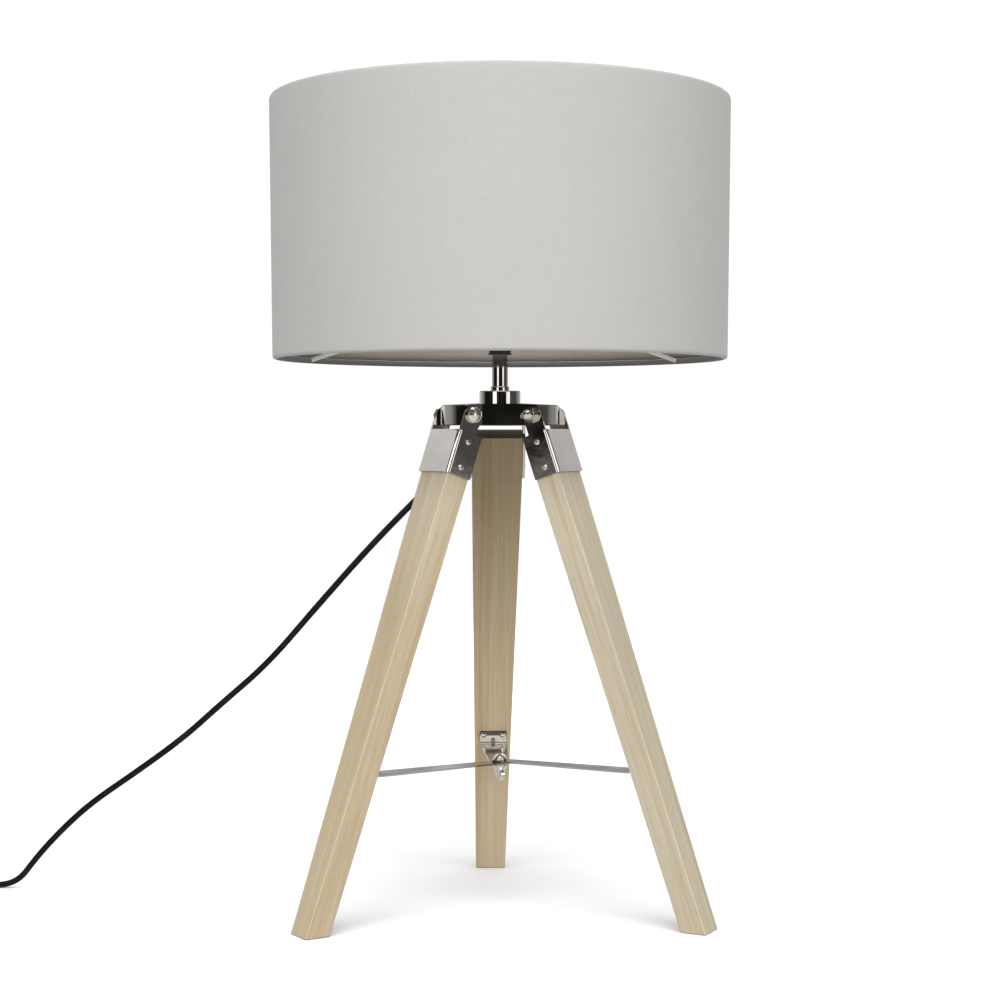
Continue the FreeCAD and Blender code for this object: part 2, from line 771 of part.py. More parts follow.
def arm_section(bottom_z):
    """The folded arm seen from the side: a flat sheet and a tab leaning along the leg."""
    offset = seat_gap / math.cos(tilt)
    sheet_across = brace_sheet / math.cos(tilt)
    top_z = bottom_z + brace_sheet
    tab_z = bottom_z + brace_tab_height

    def at(z, inward):
        return V(inner_face_radius(z) - offset - inward, 0, z)

    tab_end = at(tab_z, 0)
    tab_inside = tab_end + V(-brace_sheet * math.cos(tilt), 0, -brace_sheet * math.sin(tilt))
    points = [
        V(0, 0, bottom_z), at(bottom_z, 0), tab_end,
        tab_inside, at(top_z, sheet_across), V(0, 0, top_z),
    ]
    section = face_of(points).extrude(V(0, 2 * brace_half_width_root, 0))
    section.translate(V(0, -brace_half_width_root, 0))
    outside = [e for e in section.Edges if is_across_at(e, points[1])]
    section = section.makeFillet(brace_bend_inside + brace_sheet, outside)
    inside = [e for e in section.Edges if is_across_at(e, points[4])]
    return section.makeFillet(brace_bend_inside, inside)


def is_across_at(edge, point):
    box = edge.BoundBox
    same_x = abs(box.XMin - point.x) < seat_gap and abs(box.XMax - point.x) < seat_gap
    return same_x and abs(box.ZMin - point.z) < seat_gap and abs(box.ZMax - point.z) < seat_gap


def arm_plan(bottom_z, tip_reach):
    """The arm's outline from above: wide at the leg, tapered and round at the bolt."""
    root = inner_face_radius(bottom_z) + end_overcut
    wide = inner_face_radius(bottom_z + brace_tab_height) - brace_parallel_length
    points = [
        V(0, -tip_reach, 0), V(wide, -brace_half_width_root, 0), V(root, -brace_half_width_root, 0),
        V(root, brace_half_width_root, 0), V(wide, brace_half_width_root, 0), V(0, tip_reach, 0),
    ]
    plan = face_of(points).extrude(V(0, 0, brace_tab_height + end_overcut))
    plan = plan.fuse(cylinder(tip_reach, brace_tab_height + end_overcut))
    plan.translate(V(0, 0, bottom_z))
    return plan


def brace_arm(name, heading):
    bottom_z = brace_z + brace_levels[name] * brace_step
    top_z = bottom_z + brace_sheet
    tip = Part.makeBox(brace_half_width_tip, 2 * brace_half_width_tip, brace_sheet)
    tip.translate(V(-brace_half_width_tip, -brace_half_width_tip, bottom_z))
    arm = arm_section(bottom_z).fuse(tip).common(arm_plan(bottom_z, brace_half_width_tip))
    corner = inner_face_radius(top_z) - (brace_sheet + seat_gap) / math.cos(tilt)
    rib_face = face_of([
        V(corner, 0, top_z),
        V(corner - brace_rib_size, 0, top_z),
        V(corner - brace_rib_size * math.sin(tilt), 0, top_z + brace_rib_size * math.cos(tilt)),
    ])
    rib = rib_face.extrude(V(0, brace_rib_width, 0))
    rib.translate(V(0, -brace_rib_width / 2, 0))
    arm = arm.fuse(rib)
    if brace_levels[name] == 0:
        arm = arm.cut(cylinder(bolt_radius + shaft_gap, brace_sheet, V(0, 0, bottom_z)))
    else:
        side = 1 if name == "left" else -1
        arm = arm.cut(hook_notch(bottom_z, side))
    for hole in tab_screw_axes(bottom_z, screw_shank_radius + shaft_gap, 2 * brace_sheet):
        arm = arm.cut(hole)
    return turned(arm.removeSplitter(), heading)


def hook_notch(bottom_z, side):
    """The open slot in a front arm's end, slanted the way the bolt leaves it."""
    reach = 2 * brace_half_width_tip
    half = bolt_radius + hook_slack
    slot = Part.makeBox(reach, 2 * half, brace_sheet)
    slot.translate(V(-reach, -half, bottom_z))
    slot = slot.fuse(cylinder(half, brace_sheet, V(0, 0, bottom_z)))
    slot.rotate(ORIGIN, UP, side * hook_angle)
    return slot


def tab_screw_base(bottom_z):
    """The screw axis on the tab's free side, and the way in which it enters the leg."""
    along_tab = V(-math.sin(tilt), 0, math.cos(tilt))
    into_leg = V(math.cos(tilt), 0, math.sin(tilt))
    tab_top = V(inner_face_radius(bottom_z + brace_tab_height), 0, bottom_z + brace_tab_height)
    place = tab_top - along_tab * brace_screw_below_top - into_leg * (brace_sheet + seat_gap)
    return place, into_leg


def tab_screw_axes(bottom_z, radius, length):
    place, into_leg = tab_screw_base(bottom_z)
    for side in (-1, 1):
        start = place + V(0, side * brace_screw_offset, 0) - into_leg * brace_sheet
        yield cylinder(radius, length + brace_sheet, start, into_leg)


def brace_screws(name, heading):
    place, into_leg = tab_screw_base(brace_z + brace_levels[name] * brace_step)
    base = cross_screw(screw_head_radius, screw_head_height, screw_shank_radius, brace_screw_length)
    screws = []
    for side in (-1, 1):
        screw = base.copy()
        screw.rotate(ORIGIN, V(0, 1, 0), -quarter_turn - leg_tilt)
        screw.translate(place + V(0, side * brace_screw_offset, 0))
        screws.append(turned(screw, heading))
    return Part.makeCompound(screws)


def make_leg(name, heading):
    wood = leg_wood(heading)
    for hole in cheek_screw_shafts(screw_shank_radius + shaft_gap, screw_length + seat_gap,
                                   bracket_outer_half):
        wood = wood.cut(turned(leg_place(hole), heading))
    bottom_z = brace_z + brace_levels[name] * brace_step
    for hole in tab_screw_axes(bottom_z, screw_shank_radius + shaft_gap, brace_screw_length):
        wood = wood.cut(turned(hole, heading))
    save("leg_" + name, wood)
    save("leg_bracket_" + name, leg_bracket(heading))
    save("bracket_screws_" + name, bracket_screws(heading))
    save("brace_arm_" + name, brace_arm(name, heading))
    save("brace_screws_" + name, brace_screws(name, heading))
    make_pivot(name, heading)


def make_brace_clamp():
    """The bolt through the three arm ends, its washers and the wing nut below."""
    washer_z = brace_stack_top + clamp_play
    dome_z = washer_z + brace_washer_thickness
    washer = ring(brace_washer_radius, bolt_radius + shaft_gap, brace_washer_thickness, washer_z)
    save("brace_top_washer", washer)
    low_z = brace_z - brace_washer_thickness
    save("brace_bottom_washer", ring(brace_washer_radius, bolt_radius + shaft_gap,
                                     brace_washer_thickness, low_z))
    nut_z = low_z - seat_gap
    bolt = domed_head(brace_dome_radius, brace_dome_height, brace_dome_height / 3)
    bolt.translate(V(0, 0, dome_z))
    bolt_end = nut_z - wing_boss_height - bolt_radius
    bolt = bolt.fuse(cylinder(bolt_radius, dome_z - bolt_end, V(0, 0, bolt_end)))
    save("brace_bolt", bolt)
    boss = Part.makeCone(wing_boss_radius, wing_boss_tip_radius, wing_boss_height, V(0, 0, nut_z),
                         V(0, 0, -1))
    wing_face = wing_outline(nut_z)
    wings = wing_face.extrude(V(0, wing_thickness, 0))
    wings.translate(V(0, -wing_thickness / 2, 0))
    nut = boss.fuse(wings).cut(cylinder(bolt_radius + shaft_gap, 2 * wing_reach, V(0, 0, nut_z),
                                        V(0, 0, -1)))
    save("wing_nut", turned(nut.removeSplitter(), wing_heading))


def wing_outline(nut_z):
    """Two round lobes on sloping roots, seen along the wings' thickness."""
    low = nut_z - wing_boss_height - wing_drop + wing_lobe_radius
    lobe_x = wing_reach - wing_lobe_radius
    face = face_of([
        V(-lobe_x, 0, low + wing_lobe_radius), V(lobe_x, 0, low + wing_lobe_radius),
        V(wing_boss_radius, 0, nut_z - wing_boss_height), V(-wing_boss_radius, 0, nut_z - wing_boss_height),
    ])
    for side in (-1, 1):
        lobe = Part.makeCircle(wing_lobe_radius, V(side * lobe_x, 0, low), V(0, 1, 0))
        face = face.fuse(Part.Face(Part.Wire([lobe])))
    return face.removeSplitter()


# ---- cord, gland, coil and plug ----
def gland_way():
    slope = math.radians(gland_tilt)
    return heading_vector(gland_heading, math.sin(slope), -math.cos(slope))


def gland_ball_centre():
    return heading_vector(gland_heading, gland_distance,
                          hub_underside_z - gland_flange_height - gland_ball_radius / 2)


def cord_start():
    return gland_ball_centre() + gland_way() * gland_taper_length


def make_gland():
    foot = heading_vector(gland_heading, gland_distance, hub_underside_z)
    flange = cylinder(gland_flange_radius, gland_flange_height, foot, V(0, 0, -1))
    shank = cylinder(gland_shank_radius, gland_shank_length, foot)
    ball = Part.makeSphere(gland_ball_radius, gland_ball_centre())
    below = cylinder(hub_radius, hub_radius, V(0, 0, hub_underside_z - gland_flange_height), V(0, 0, -1))
    taper = Part.makeCone(gland_taper_radius, gland_tip_radius, gland_taper_length,
                          gland_ball_centre(), gland_way())
    save("cord_gland", flange.fuse(shank).fuse(ball.common(below)).fuse(taper.common(below)))


def rounded_route(points):
    """Straight runs joined by arcs as large as the runs allow, and each arc's radius."""
    edges = []
    radii = []
    last = points[0]
    for index in range(1, len(points) - 1):
        before = points[index] - points[index - 1]
        after = points[index + 1] - points[index]
        shorter = min(before.Length, after.Length)
        reach = arc_share * shorter
        radii.append(reach / math.tan(before.getAngle(after) / 2))
        start = points[index] - before * (reach / before.Length)
        end = points[index] + after * (reach / after.Length)
        edges.append(Part.LineSegment(last, start).toShape())
        edges.append(arc_between(start, points[index], end))
        last = end
    edges.append(Part.LineSegment(last, points[-1]).toShape())
    return edges, radii


def make_cord():
    start = cord_start() + gland_way() * seat_gap
    points = [start, gland_ball_centre() + gland_way() * cord_straight_out] + cord_route
    edges, radii = rounded_route(points)
    way = points[1] - points[0]
    tube = swept(edges, points[0], way, cord_radius)
    length = sum(edge.Length for edge in edges)
    section = math.pi * cord_radius ** 2
    print("cord radii", [round(radius, 1) for radius in radii])
    print("cord length %.1f, volume over section x length %.5f" % (length, tube.Volume / (section * length)))
    save("cord", tube)
    return length


def coil_path():
    """Half turns that spiral in, climb one layer at the middle and spiral out again."""
    end = cord_route[-1]
    way = (end - cord_route[-2]).normalize()
    shrink = coil_turn_step / 2
    inward = [coil_outer_radius - shrink * turn for turn in range(coil_half_turns_in)]
    climb = coil_outer_radius - shrink * coil_half_turns_in
    outward = [climb + shrink * (turn + 1) for turn in range(coil_half_turns_out)]
    point = end + way * cord_diameter
    edges = [Part.LineSegment(end, point).toShape()]
    for turn, radius in enumerate(inward + [climb] + outward):
        rise = coil_turn_step if turn == coil_half_turns_in else 0.0
        left = UP.cross(way)
        target = point + left * (2 * radius) + V(0, 0, rise)
        edges += biarc(point, way, target, way * -1)
        point = target
        way = way * -1
    stop = point + way * coil_tail
    edges.append(Part.LineSegment(point, stop).toShape())
    return edges, stop, way


def least_self_gap(edges, skip_length):
    """The smallest distance between points of the path that are far apart along it, less a diameter."""
    samples = []
    along = 0.0
    for edge in edges:
        count = max(2, int(edge.Length / cord_radius))
        for step in range(count):
            share = edge.FirstParameter + (edge.LastParameter - edge.FirstParameter) * step / count
            samples.append((along + edge.Length * step / count, edge.valueAt(share)))
        along += edge.Length
    least = skip_length
    for index, (place, point) in enumerate(samples):
        for other_place, other in samples[index + 1:]:
            if other_place - place > skip_length:
                least = min(least, point.distanceToPoint(other))
    return least - cord_diameter


def make_coil():
    edges, stop, way = coil_path()
    tube = swept(edges, cord_route[-1], cord_route[-1] - cord_route[-2], cord_radius)
    length = sum(edge.Length for edge in edges)
    section = math.pi * cord_radius ** 2
    print("coil length %.1f, volume ratio %.5f" % (length, tube.Volume / (section * length)))
    print("coil least gap to itself %.2f" % least_self_gap(edges, coil_outer_radius))
    save("cord_coil", tube)
    return stop, way, length


def make_plug(stop, way):
    """A flat two-pin plug lying on the floor, its sleeve dropping from the coil's upper layer."""
    across = UP.cross(way)
    axis_z = plug_half_thickness + cord_floor_gap
    rear = V(stop.x, stop.y, axis_z) + way * plug_taper_length

    def outline(centre, half_width, half_height, corner):
        """A rounded rectangle square to the plug's length."""
        def at(x, z):
            return centre + across * x + V(0, 0, z)
        straight_x = half_width - corner
        straight_z = half_height - corner
        bulge = corner * diagonal_share
        points = []
        arcs = {}
        for sign_x, sign_z in ((1, 1), (-1, 1), (-1, -1), (1, -1)):
            first = at(sign_x * half_width, sign_z * straight_z)
            second = at(sign_x * straight_x, sign_z * half_height)
            pair = (first, second) if sign_x * sign_z > 0 else (second, first)
            arcs[len(points)] = at(sign_x * (straight_x + bulge), sign_z * (straight_z + bulge))
            points.extend(pair)
        return face_of(points, arcs).OuterWire

    sleeve_start = Part.Wire([Part.makeCircle(plug_taper_tip_radius, stop, way)])
    sleeve_end = Part.Wire([Part.makeCircle(plug_edge_radius, rear, way)])
    sleeve = Part.makeLoft([sleeve_start, sleeve_end], True, True)
    middle = rear + way * (plug_body_length / 2)
    front = rear + way * plug_body_length
    body = Part.makeLoft([
        outline(rear, plug_rear_half_width, plug_half_thickness, plug_edge_radius),
        outline(middle, plug_half_width, plug_half_thickness, plug_edge_radius),
    ], True, True)
    head = Part.makeLoft([
        outline(middle, plug_half_width, plug_half_thickness, plug_edge_radius),
        outline(front, plug_half_width, plug_half_thickness, plug_edge_radius),
    ], True, True)
    body = body.fuse(head).fuse(sleeve)
    pins = []
    for side in (-1, 1):
        root = front + across * (side * pin_half_spacing)
        pin = cylinder(pin_radius, pin_length, root, way)
        tips = [e for e in pin.Edges if e.Length < pin_length and (e.CenterOfMass - root).Length > pin_radius]
        pins.append(pin.makeFillet(pin_tip_radius, tips))
    save("plug_body", body.removeSplitter())
    save("plug_pins", Part.makeCompound(pins))


# ---- the whole lamp ----
def main():
    save("hub", make_hub())
    save("hub_nut", make_hub_nut())
    save("threaded_tube", make_threaded_tube())
    make_stem()
    make_lampholder()
    make_bulb()
    make_shade()
    make_retaining_ring()
    for name, heading in leg_headings.items():
        make_leg(name, heading)
    make_brace_clamp()
    make_gland()
    route_length = make_cord()
    stop, way, coil_length = make_coil()
    make_plug(stop, way)
    print("whole cord %.0f" % (route_length + coil_length))
    print(len(node_names), "nodes")


main()
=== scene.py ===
import math

import bpy
import numpy as np
from bpy.props import FloatProperty, FloatVectorProperty, IntProperty, PointerProperty
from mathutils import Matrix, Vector


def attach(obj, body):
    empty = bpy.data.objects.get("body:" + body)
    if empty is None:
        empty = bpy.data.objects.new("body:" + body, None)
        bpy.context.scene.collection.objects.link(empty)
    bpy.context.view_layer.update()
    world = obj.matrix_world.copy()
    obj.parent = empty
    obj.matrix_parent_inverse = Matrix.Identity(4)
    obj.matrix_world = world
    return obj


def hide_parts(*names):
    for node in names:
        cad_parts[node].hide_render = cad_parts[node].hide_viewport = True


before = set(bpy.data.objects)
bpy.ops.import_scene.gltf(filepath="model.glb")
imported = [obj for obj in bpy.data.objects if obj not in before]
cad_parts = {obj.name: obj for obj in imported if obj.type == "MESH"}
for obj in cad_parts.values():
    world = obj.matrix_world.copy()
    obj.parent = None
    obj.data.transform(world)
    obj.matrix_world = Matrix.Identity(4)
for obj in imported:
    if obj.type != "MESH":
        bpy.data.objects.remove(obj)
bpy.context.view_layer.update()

bl_info = {
    "name": "Tripod table lamp",
    "version": (1, 0, 0),
    "blender": (4, 5, 0),
    "location": "3D View > Sidebar > Lamp",
    "description": "Dresses the lamp's solids: cloth shade, limed wood, bright metal and its flex",
    "category": "Object",
}

MM = 0.001

# The camera that took the photograph; its sensor and lens are in millimetres.
CAMERA_PLACE = (-0.0822, -1.6403, 0.3654)
CAMERA_PITCH = math.radians(88.36)
CAMERA_TURN = math.radians(-2.87)
SENSOR_WIDTH = 36.0
LENS_LENGTH = 76.37

# Legs: where their pivots are, how far they lean, and how far out their two faces are from them.
PIVOT_RADIUS = 38.0 * MM
PIVOT_HEIGHT = 383.85 * MM
LEG_TILT = math.radians(19.0)
LEG_OUTER = 6.1 * MM
LEG_INNER = -13.1 * MM
# Along a leg, measured up from its pivot: the sawn top, the top of the taper and the foot. Its
# half widths are those at the foot and above the taper.
LEG_TOP = -14.0 * MM
LEG_TAPER_TOP = -47.8 * MM
LEG_FOOT = -410.0 * MM
LEG_HALF_WIDTHS = (11.3 * MM, 19.2 * MM)
# The wood's growth: one ring's width, how deep the pith lies and how far the rings wander.
GROWTH_RING = 3.6 * MM
PITH_DEPTH = 30.0 * MM
RING_WANDER = 11.0 * MM
# The brace's bent-up tab starts at this height; above it the plating is painted dark.
BRACE_TAB_START = 118.8 * MM

# Per leg: its heading round the lamp, a shift that gives it a figure of its own, how far beside
# it the pith lies, how far down the head's tint reaches, and the tints at its foot and head.
# These tints are painted light and shade: the front legs are painted lighter at their heads,
# the rear leg darker at its head, as in the shade's shadow.
LEGS = {
    "rear": {"heading": 90.0, "shift": 0.31, "pith": 0.052, "fade": -0.40,
             "foot": (1.33, 1.32, 1.28), "head": (0.86, 0.84, 0.77)},
    "left": {"heading": 210.0, "shift": 0.87, "pith": -0.061, "fade": -0.17,
             "foot": (0.93, 0.92, 0.90), "head": (1.23, 1.31, 1.42)},
    "right": {"heading": 330.0, "shift": 1.63, "pith": 0.047, "fade": -0.17,
              "foot": (0.94, 0.985, 1.07), "head": (1.23, 1.31, 1.46)},
}

# Shade cloth: the radius of its turn round the wires, its thickness, the radius that its pattern
# is measured on, the heading and rise of its seam, its slack between the wires, and the wave of
# its lips. The weave's pitch is given round the shade and up it.
HEM_RADIUS = 2.4 * MM
CLOTH_THICKNESS = 0.6 * MM
CLOTH_PATTERN_RADIUS = 176.0 * MM
CLOTH_SEAM = 112.0
CLOTH_SEAM_RISE = 0.25 * MM
CLOTH_SLACK = 0.10 * MM
LIP_WAVE = 0.12 * MM
WARP_PITCH = 0.62 * MM
WEFT_PITCH = 0.58 * MM
# Shade lining: the same, and how far inside the cloth's face it lies.
LINING_INSET = 0.7 * MM
LINING_THICKNESS = 0.4 * MM
LINING_PATTERN_RADIUS = 175.0 * MM
LINING_SEAM = 104.0
LINING_SEAM_RISE = 0.3 * MM

# The flex leaves its strain relief at FLEX_EXIT and follows these points down to the floor.
FLEX_EXIT = (-30.72 * MM, 17.74 * MM, 356.12 * MM)
FLEX_ROUTE_MM = (
    (-37.92, 21.89, 344.24), (-63.0, 23.8, 320.0), (-101.0, 31.2, 281.0), (-144.5, 40.3, 231.5),
    (-182.5, 48.3, 187.0), (-221.0, 56.3, 153.5), (-250.5, 62.6, 126.5), (-290.0, 70.7, 97.5),
    (-326.0, 78.4, 72.5), (-350.5, 83.9, 50.0), (-371.5, 88.8, 27.2), (-390.0, 93.8, 2.55),
    (-423.0, 101.4, 2.55), (-447.0, 105.8, 2.55),
)
# The coil: its outer radius, the step between turns and between layers, how many half circles
# go in and come out again, and the straight bits before and after it.
COIL_RADIUS = 36.5 * MM
COIL_STEP = 5.45 * MM
COIL_HALVES_IN = 5
COIL_HALVES_OUT = 6
COIL_LEAD = 5.0 * MM
COIL_TAIL = 10.0 * MM
POINTS_PER_HALF = 8

# The coil's tie: its heading on the coil, how far round it looks for turns, and its strap.
TIE_HEADING = math.radians(75.0)
TIE_REACH = math.radians(14.0)
TIE_CLEARANCE = 3.1 * MM
TIE_CORNER = 2.6 * MM
TIE_LOWEST = 0.15 * MM
TIE_SECTION_MM = ((-3.0, 0.0), (-2.7, 0.35), (2.7, 0.35), (3.0, 0.0), (2.7, -0.35), (-2.7, -0.35))

COOL = (1.0, 0.99, 1.0)
WARM = (1.0, 0.985, 0.955)


# ---------------------------------------------------------------- settings
class LampShadeSettings(bpy.types.PropertyGroup):
    bottom_z: FloatProperty(
        name="Bottom", description="Height of the shade's lower edge",
        default=426.7 * MM, unit="LENGTH")
    height: FloatProperty(
        name="Height", description="Height of the shade", default=199.3 * MM, unit="LENGTH")
    bottom_radius: FloatProperty(
        name="Lower radius", description="Radius at the lower edge",
        default=175.0 * MM, unit="LENGTH")
    top_radius: FloatProperty(
        name="Upper radius", description="Radius at the upper edge",
        default=177.0 * MM, unit="LENGTH")
    cloth_colour: FloatVectorProperty(
        name="Cloth", description="Colour of the outer cloth", subtype="COLOR",
        default=(0.346, 0.343, 0.334), min=0.0, max=1.0)
    lining_colour: FloatVectorProperty(
        name="Lining", description="Colour of the lining sheet", subtype="COLOR",
        default=(0.285, 0.258, 0.238), min=0.0, max=1.0)


class LampWoodSettings(bpy.types.PropertyGroup):
    base_colour: FloatVectorProperty(
        name="Wood", description="Colour of the bare wood under the wash", subtype="COLOR",
        default=(0.400, 0.292, 0.165), min=0.0, max=1.0)
    wash_colour: FloatVectorProperty(
        name="Wash", description="Colour of the pale wash left in the grain", subtype="COLOR",
        default=(0.475, 0.405, 0.298), min=0.0, max=1.0)


class LampMetalSettings(bpy.types.PropertyGroup):
    chrome_colour: FloatVectorProperty(
        name="Chrome", description="Reflection colour of the bright plating", subtype="COLOR",
        default=(0.53, 0.505, 0.475), min=0.0, max=1.0)
    brace_colour: FloatVectorProperty(
        name="Brace", description="Reflection colour of the brace's darker plating",
        subtype="COLOR", default=(0.40, 0.382, 0.350), min=0.0, max=1.0)
    screw_colour: FloatVectorProperty(
        name="Screws", description="Reflection colour of the screws and thread", subtype="COLOR",
        default=(0.62, 0.60, 0.57), min=0.0, max=1.0)


class LampFlexSettings(bpy.types.PropertyGroup):
    diameter: FloatProperty(
        name="Diameter", description="Diameter of the flex", default=5.0 * MM, unit="LENGTH")
    length: FloatProperty(
        name="Length", description="Length of the flex to its plug", default=1.753, unit="LENGTH")
    sides: IntProperty(
        name="Roundness", description="Steps in a quarter of the flex's section", default=3)


class LampStageSettings(bpy.types.PropertyGroup):
    key_power: FloatProperty(
        name="Keys", description="Power of each high softbox", default=19.0, unit="POWER")
    strip_power: FloatProperty(
        name="Strips", description="Power of each low strip light", default=4.5, unit="POWER")
    overhead: FloatProperty(
        name="Overhead", description="Strength of the even light from above", default=2.85)
    surround: FloatProperty(
        name="Surround", description="Brightness of the studio behind the lamp", default=0.95)


# ---------------------------------------------------------------- mesh helpers
def new_mesh_object(name, points, faces):
    """Puts numpy points and faces into a smooth mesh whose object sits at the origin."""
    mesh = bpy.data.meshes.new(name)
    mesh.from_pydata(np.asarray(points).reshape(-1, 3).tolist(), [], np.asarray(faces).tolist())
    mesh.polygons.foreach_set("use_smooth", np.full(len(mesh.polygons), True))
    mesh.update()
    piece = bpy.data.objects.new(name, mesh)
    bpy.context.scene.collection.objects.link(piece)
    return piece


def grid_faces(rows, columns, wrap_rows=False, wrap_columns=False):
    """Quads over a grid of points: face (i, j) joins rows i and i + 1 with columns j and j + 1."""
    i = np.arange(rows if wrap_rows else rows - 1)
    j = np.arange(columns if wrap_columns else columns - 1)
    i, j = np.meshgrid(i, j, indexing="ij")
    up = (i + 1) % rows
    across = (j + 1) % columns
    return np.stack([i * columns + j, i * columns + across,
                     up * columns + across, up * columns + j], axis=-1).reshape(-1, 4)


def full_turn(steps):
    """Evenly stepped angles of one turn, without its end."""
    return np.linspace(0.0, 2 * math.pi, steps, endpoint=False)


def put_uv(piece, u, v, girth):
    """Writes one UV per point, in metres, through the mesh's corners. Where a face joins the
    last column to the first, the first one's corners get the full girth in place of zero."""
    mesh = piece.data
    corners = np.zeros(len(mesh.loops), dtype=np.int32)
    mesh.loops.foreach_get("vertex_index", corners)
    uv = np.stack([u.ravel()[corners], v.ravel()[corners]], axis=-1).reshape(-1, 4, 2)
    wide = np.ptp(uv[:, :, 0], axis=1) > girth / 2
    uv[:, :, 0] += np.where(wide[:, None] & (uv[:, :, 0] < girth / 2), girth, 0.0)
    mesh.uv_layers.new(name="cloth").data.foreach_set("uv", uv.ravel())


def overlap(turn, heading, outer, inner):
    """One over the width of a seam at a heading and zero away from it. The cubic 3t^2 - 2t^3
    joins them from outer to inner degrees on both sides."""
    away = np.abs(turn - math.radians(heading))
    t = np.clip((away - math.radians(outer)) / math.radians(inner - outer), 0.0, 1.0)
    return t * t * (3.0 - 2.0 * t)


def thicken(piece, thickness):
    """Gives an open sheet its thickness, inwards."""
    solid = piece.modifiers.new("thickness", "SOLIDIFY")
    solid.thickness = thickness
    solid.offset = -1.0
    solid.use_rim = True


def dress(piece, material):
    """Puts one material on a piece or on a solid from the frame."""
    if len(piece.material_slots) == 0:
        piece.data.materials.append(material)
    for slot in piece.material_slots:
        slot.material = material


def dress_nodes(finishes):
    """Gives each named solid its finish. A name that ends with _ has one solid per leg."""
    for material, names in finishes.items():
        for name in names:
            for place in (LEGS if name.endswith("_") else [""]):
                dress(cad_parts[name + place], material)


# ---------------------------------------------------------------- material helpers
class Graph:
    """A node graph that grows from its coordinates; each method returns the new socket."""

    def __init__(self, tree, coordinates):
        self.nodes = tree.nodes
        self.links = tree.links
        self.place = self.add("ShaderNodeTexCoord").outputs[coordinates]

    def add(self, kind, sockets=None, **settings):
        node = self.nodes.new(kind)
        for key, value in settings.items():
            setattr(node, key, value)
        for key, value in (sockets or {}).items():
            self.feed(node.inputs[key], value)
        return node

    def feed(self, socket, value):
        if isinstance(value, bpy.types.NodeSocket):
            self.links.new(value, socket)
        else:
            socket.default_value = value

    def axes(self):
        """The coordinates' three numbers."""
        return self.add("ShaderNodeSeparateXYZ", {0: self.place}).outputs

    def scaled(self, factors, source=None):
        """The coordinates times three factors, so that a pattern is stretched along an axis."""
        return self.add("ShaderNodeVectorMath", {0: source or self.place, 1: factors},
                        operation="MULTIPLY").outputs[0]

    def noise(self, where, scale=1.0, detail=3.0, roughness=0.5, warp=0.0):
        return self.add("ShaderNodeTexNoise", {
            "Vector": where, "Scale": scale, "Detail": detail,
            "Roughness": roughness, "Distortion": warp}).outputs["Fac"]

    def count(self, operation, a, b=0.0, c=0.0):
        """One step of arithmetic on numbers."""
        return self.add("ShaderNodeMath", {0: a, 1: b, 2: c}, operation=operation).outputs[0]

    def plus(self, a, b):
        return self.count("ADD", a, b)

    def times(self, a, b):
        return self.count("MULTIPLY", a, b)

    def spread(self, value, low, high, to_low=0.0, to_high=1.0):
        """A smooth change from to_low to to_high while the value goes from low to high."""
        return self.add("ShaderNodeMapRange", {
            "Value": value, "From Min": low, "From Max": high,
            "To Min": to_low, "To Max": to_high}, interpolation_type="SMOOTHSTEP").outputs[0]

    def blend(self, share, first, second, mode="MIX"):
        node = self.add("ShaderNodeMix", data_type="RGBA", blend_type=mode)
        self.feed(node.inputs[0], share)
        self.feed(node.inputs[6], opaque(first))
        self.feed(node.inputs[7], opaque(second))
        return node.outputs[2]

    def relief(self, height, depth, strength=1.0, over=None):
        """A bump whose full height is depth metres."""
        node = self.add("ShaderNodeBump", {"Height": height, "Distance": depth,
                                           "Strength": strength})
        if over is not None:
            self.feed(node.inputs["Normal"], over)
        return node.outputs[0]

    def to_camera(self, seen, otherwise):
        """One shader where the camera looks straight at it, and another for all other light."""
        path = self.add("ShaderNodeLightPath")
        return self.add("ShaderNodeMixShader", {
            0: path.outputs["Is Camera Ray"], 1: otherwise, 2: seen}).outputs[0]


class Finish(Graph):
    """A material's graph, from the object's coordinates or its UV to its surface."""

    def __init__(self, name, uv=False):
        self.material = bpy.data.materials.new(name)
        self.material.use_nodes = True
        super().__init__(self.material.node_tree, "UV" if uv else "Object")
        self.surface = self.nodes["Principled BSDF"]

    def done(self, colour, roughness, normal=None, **uniform):
        self.feed(self.surface.inputs["Base Color"], opaque(colour))
        self.feed(self.surface.inputs["Roughness"], roughness)
        if normal is not None:
            self.feed(self.surface.inputs["Normal"], normal)
        for key, value in uniform.items():
            self.surface.inputs[key.replace("_", " ")].default_value = value
        return self.material


def opaque(colour):
    """A colour of three numbers with full alpha; anything else as it is."""
    if isinstance(colour, bpy.types.NodeSocket):
        return colour
    return (*tuple(colour)[:3], 1.0)


def tinted(colour, factor):
    return tuple(min(1.0, channel * factor) for channel in tuple(colour)[:3])


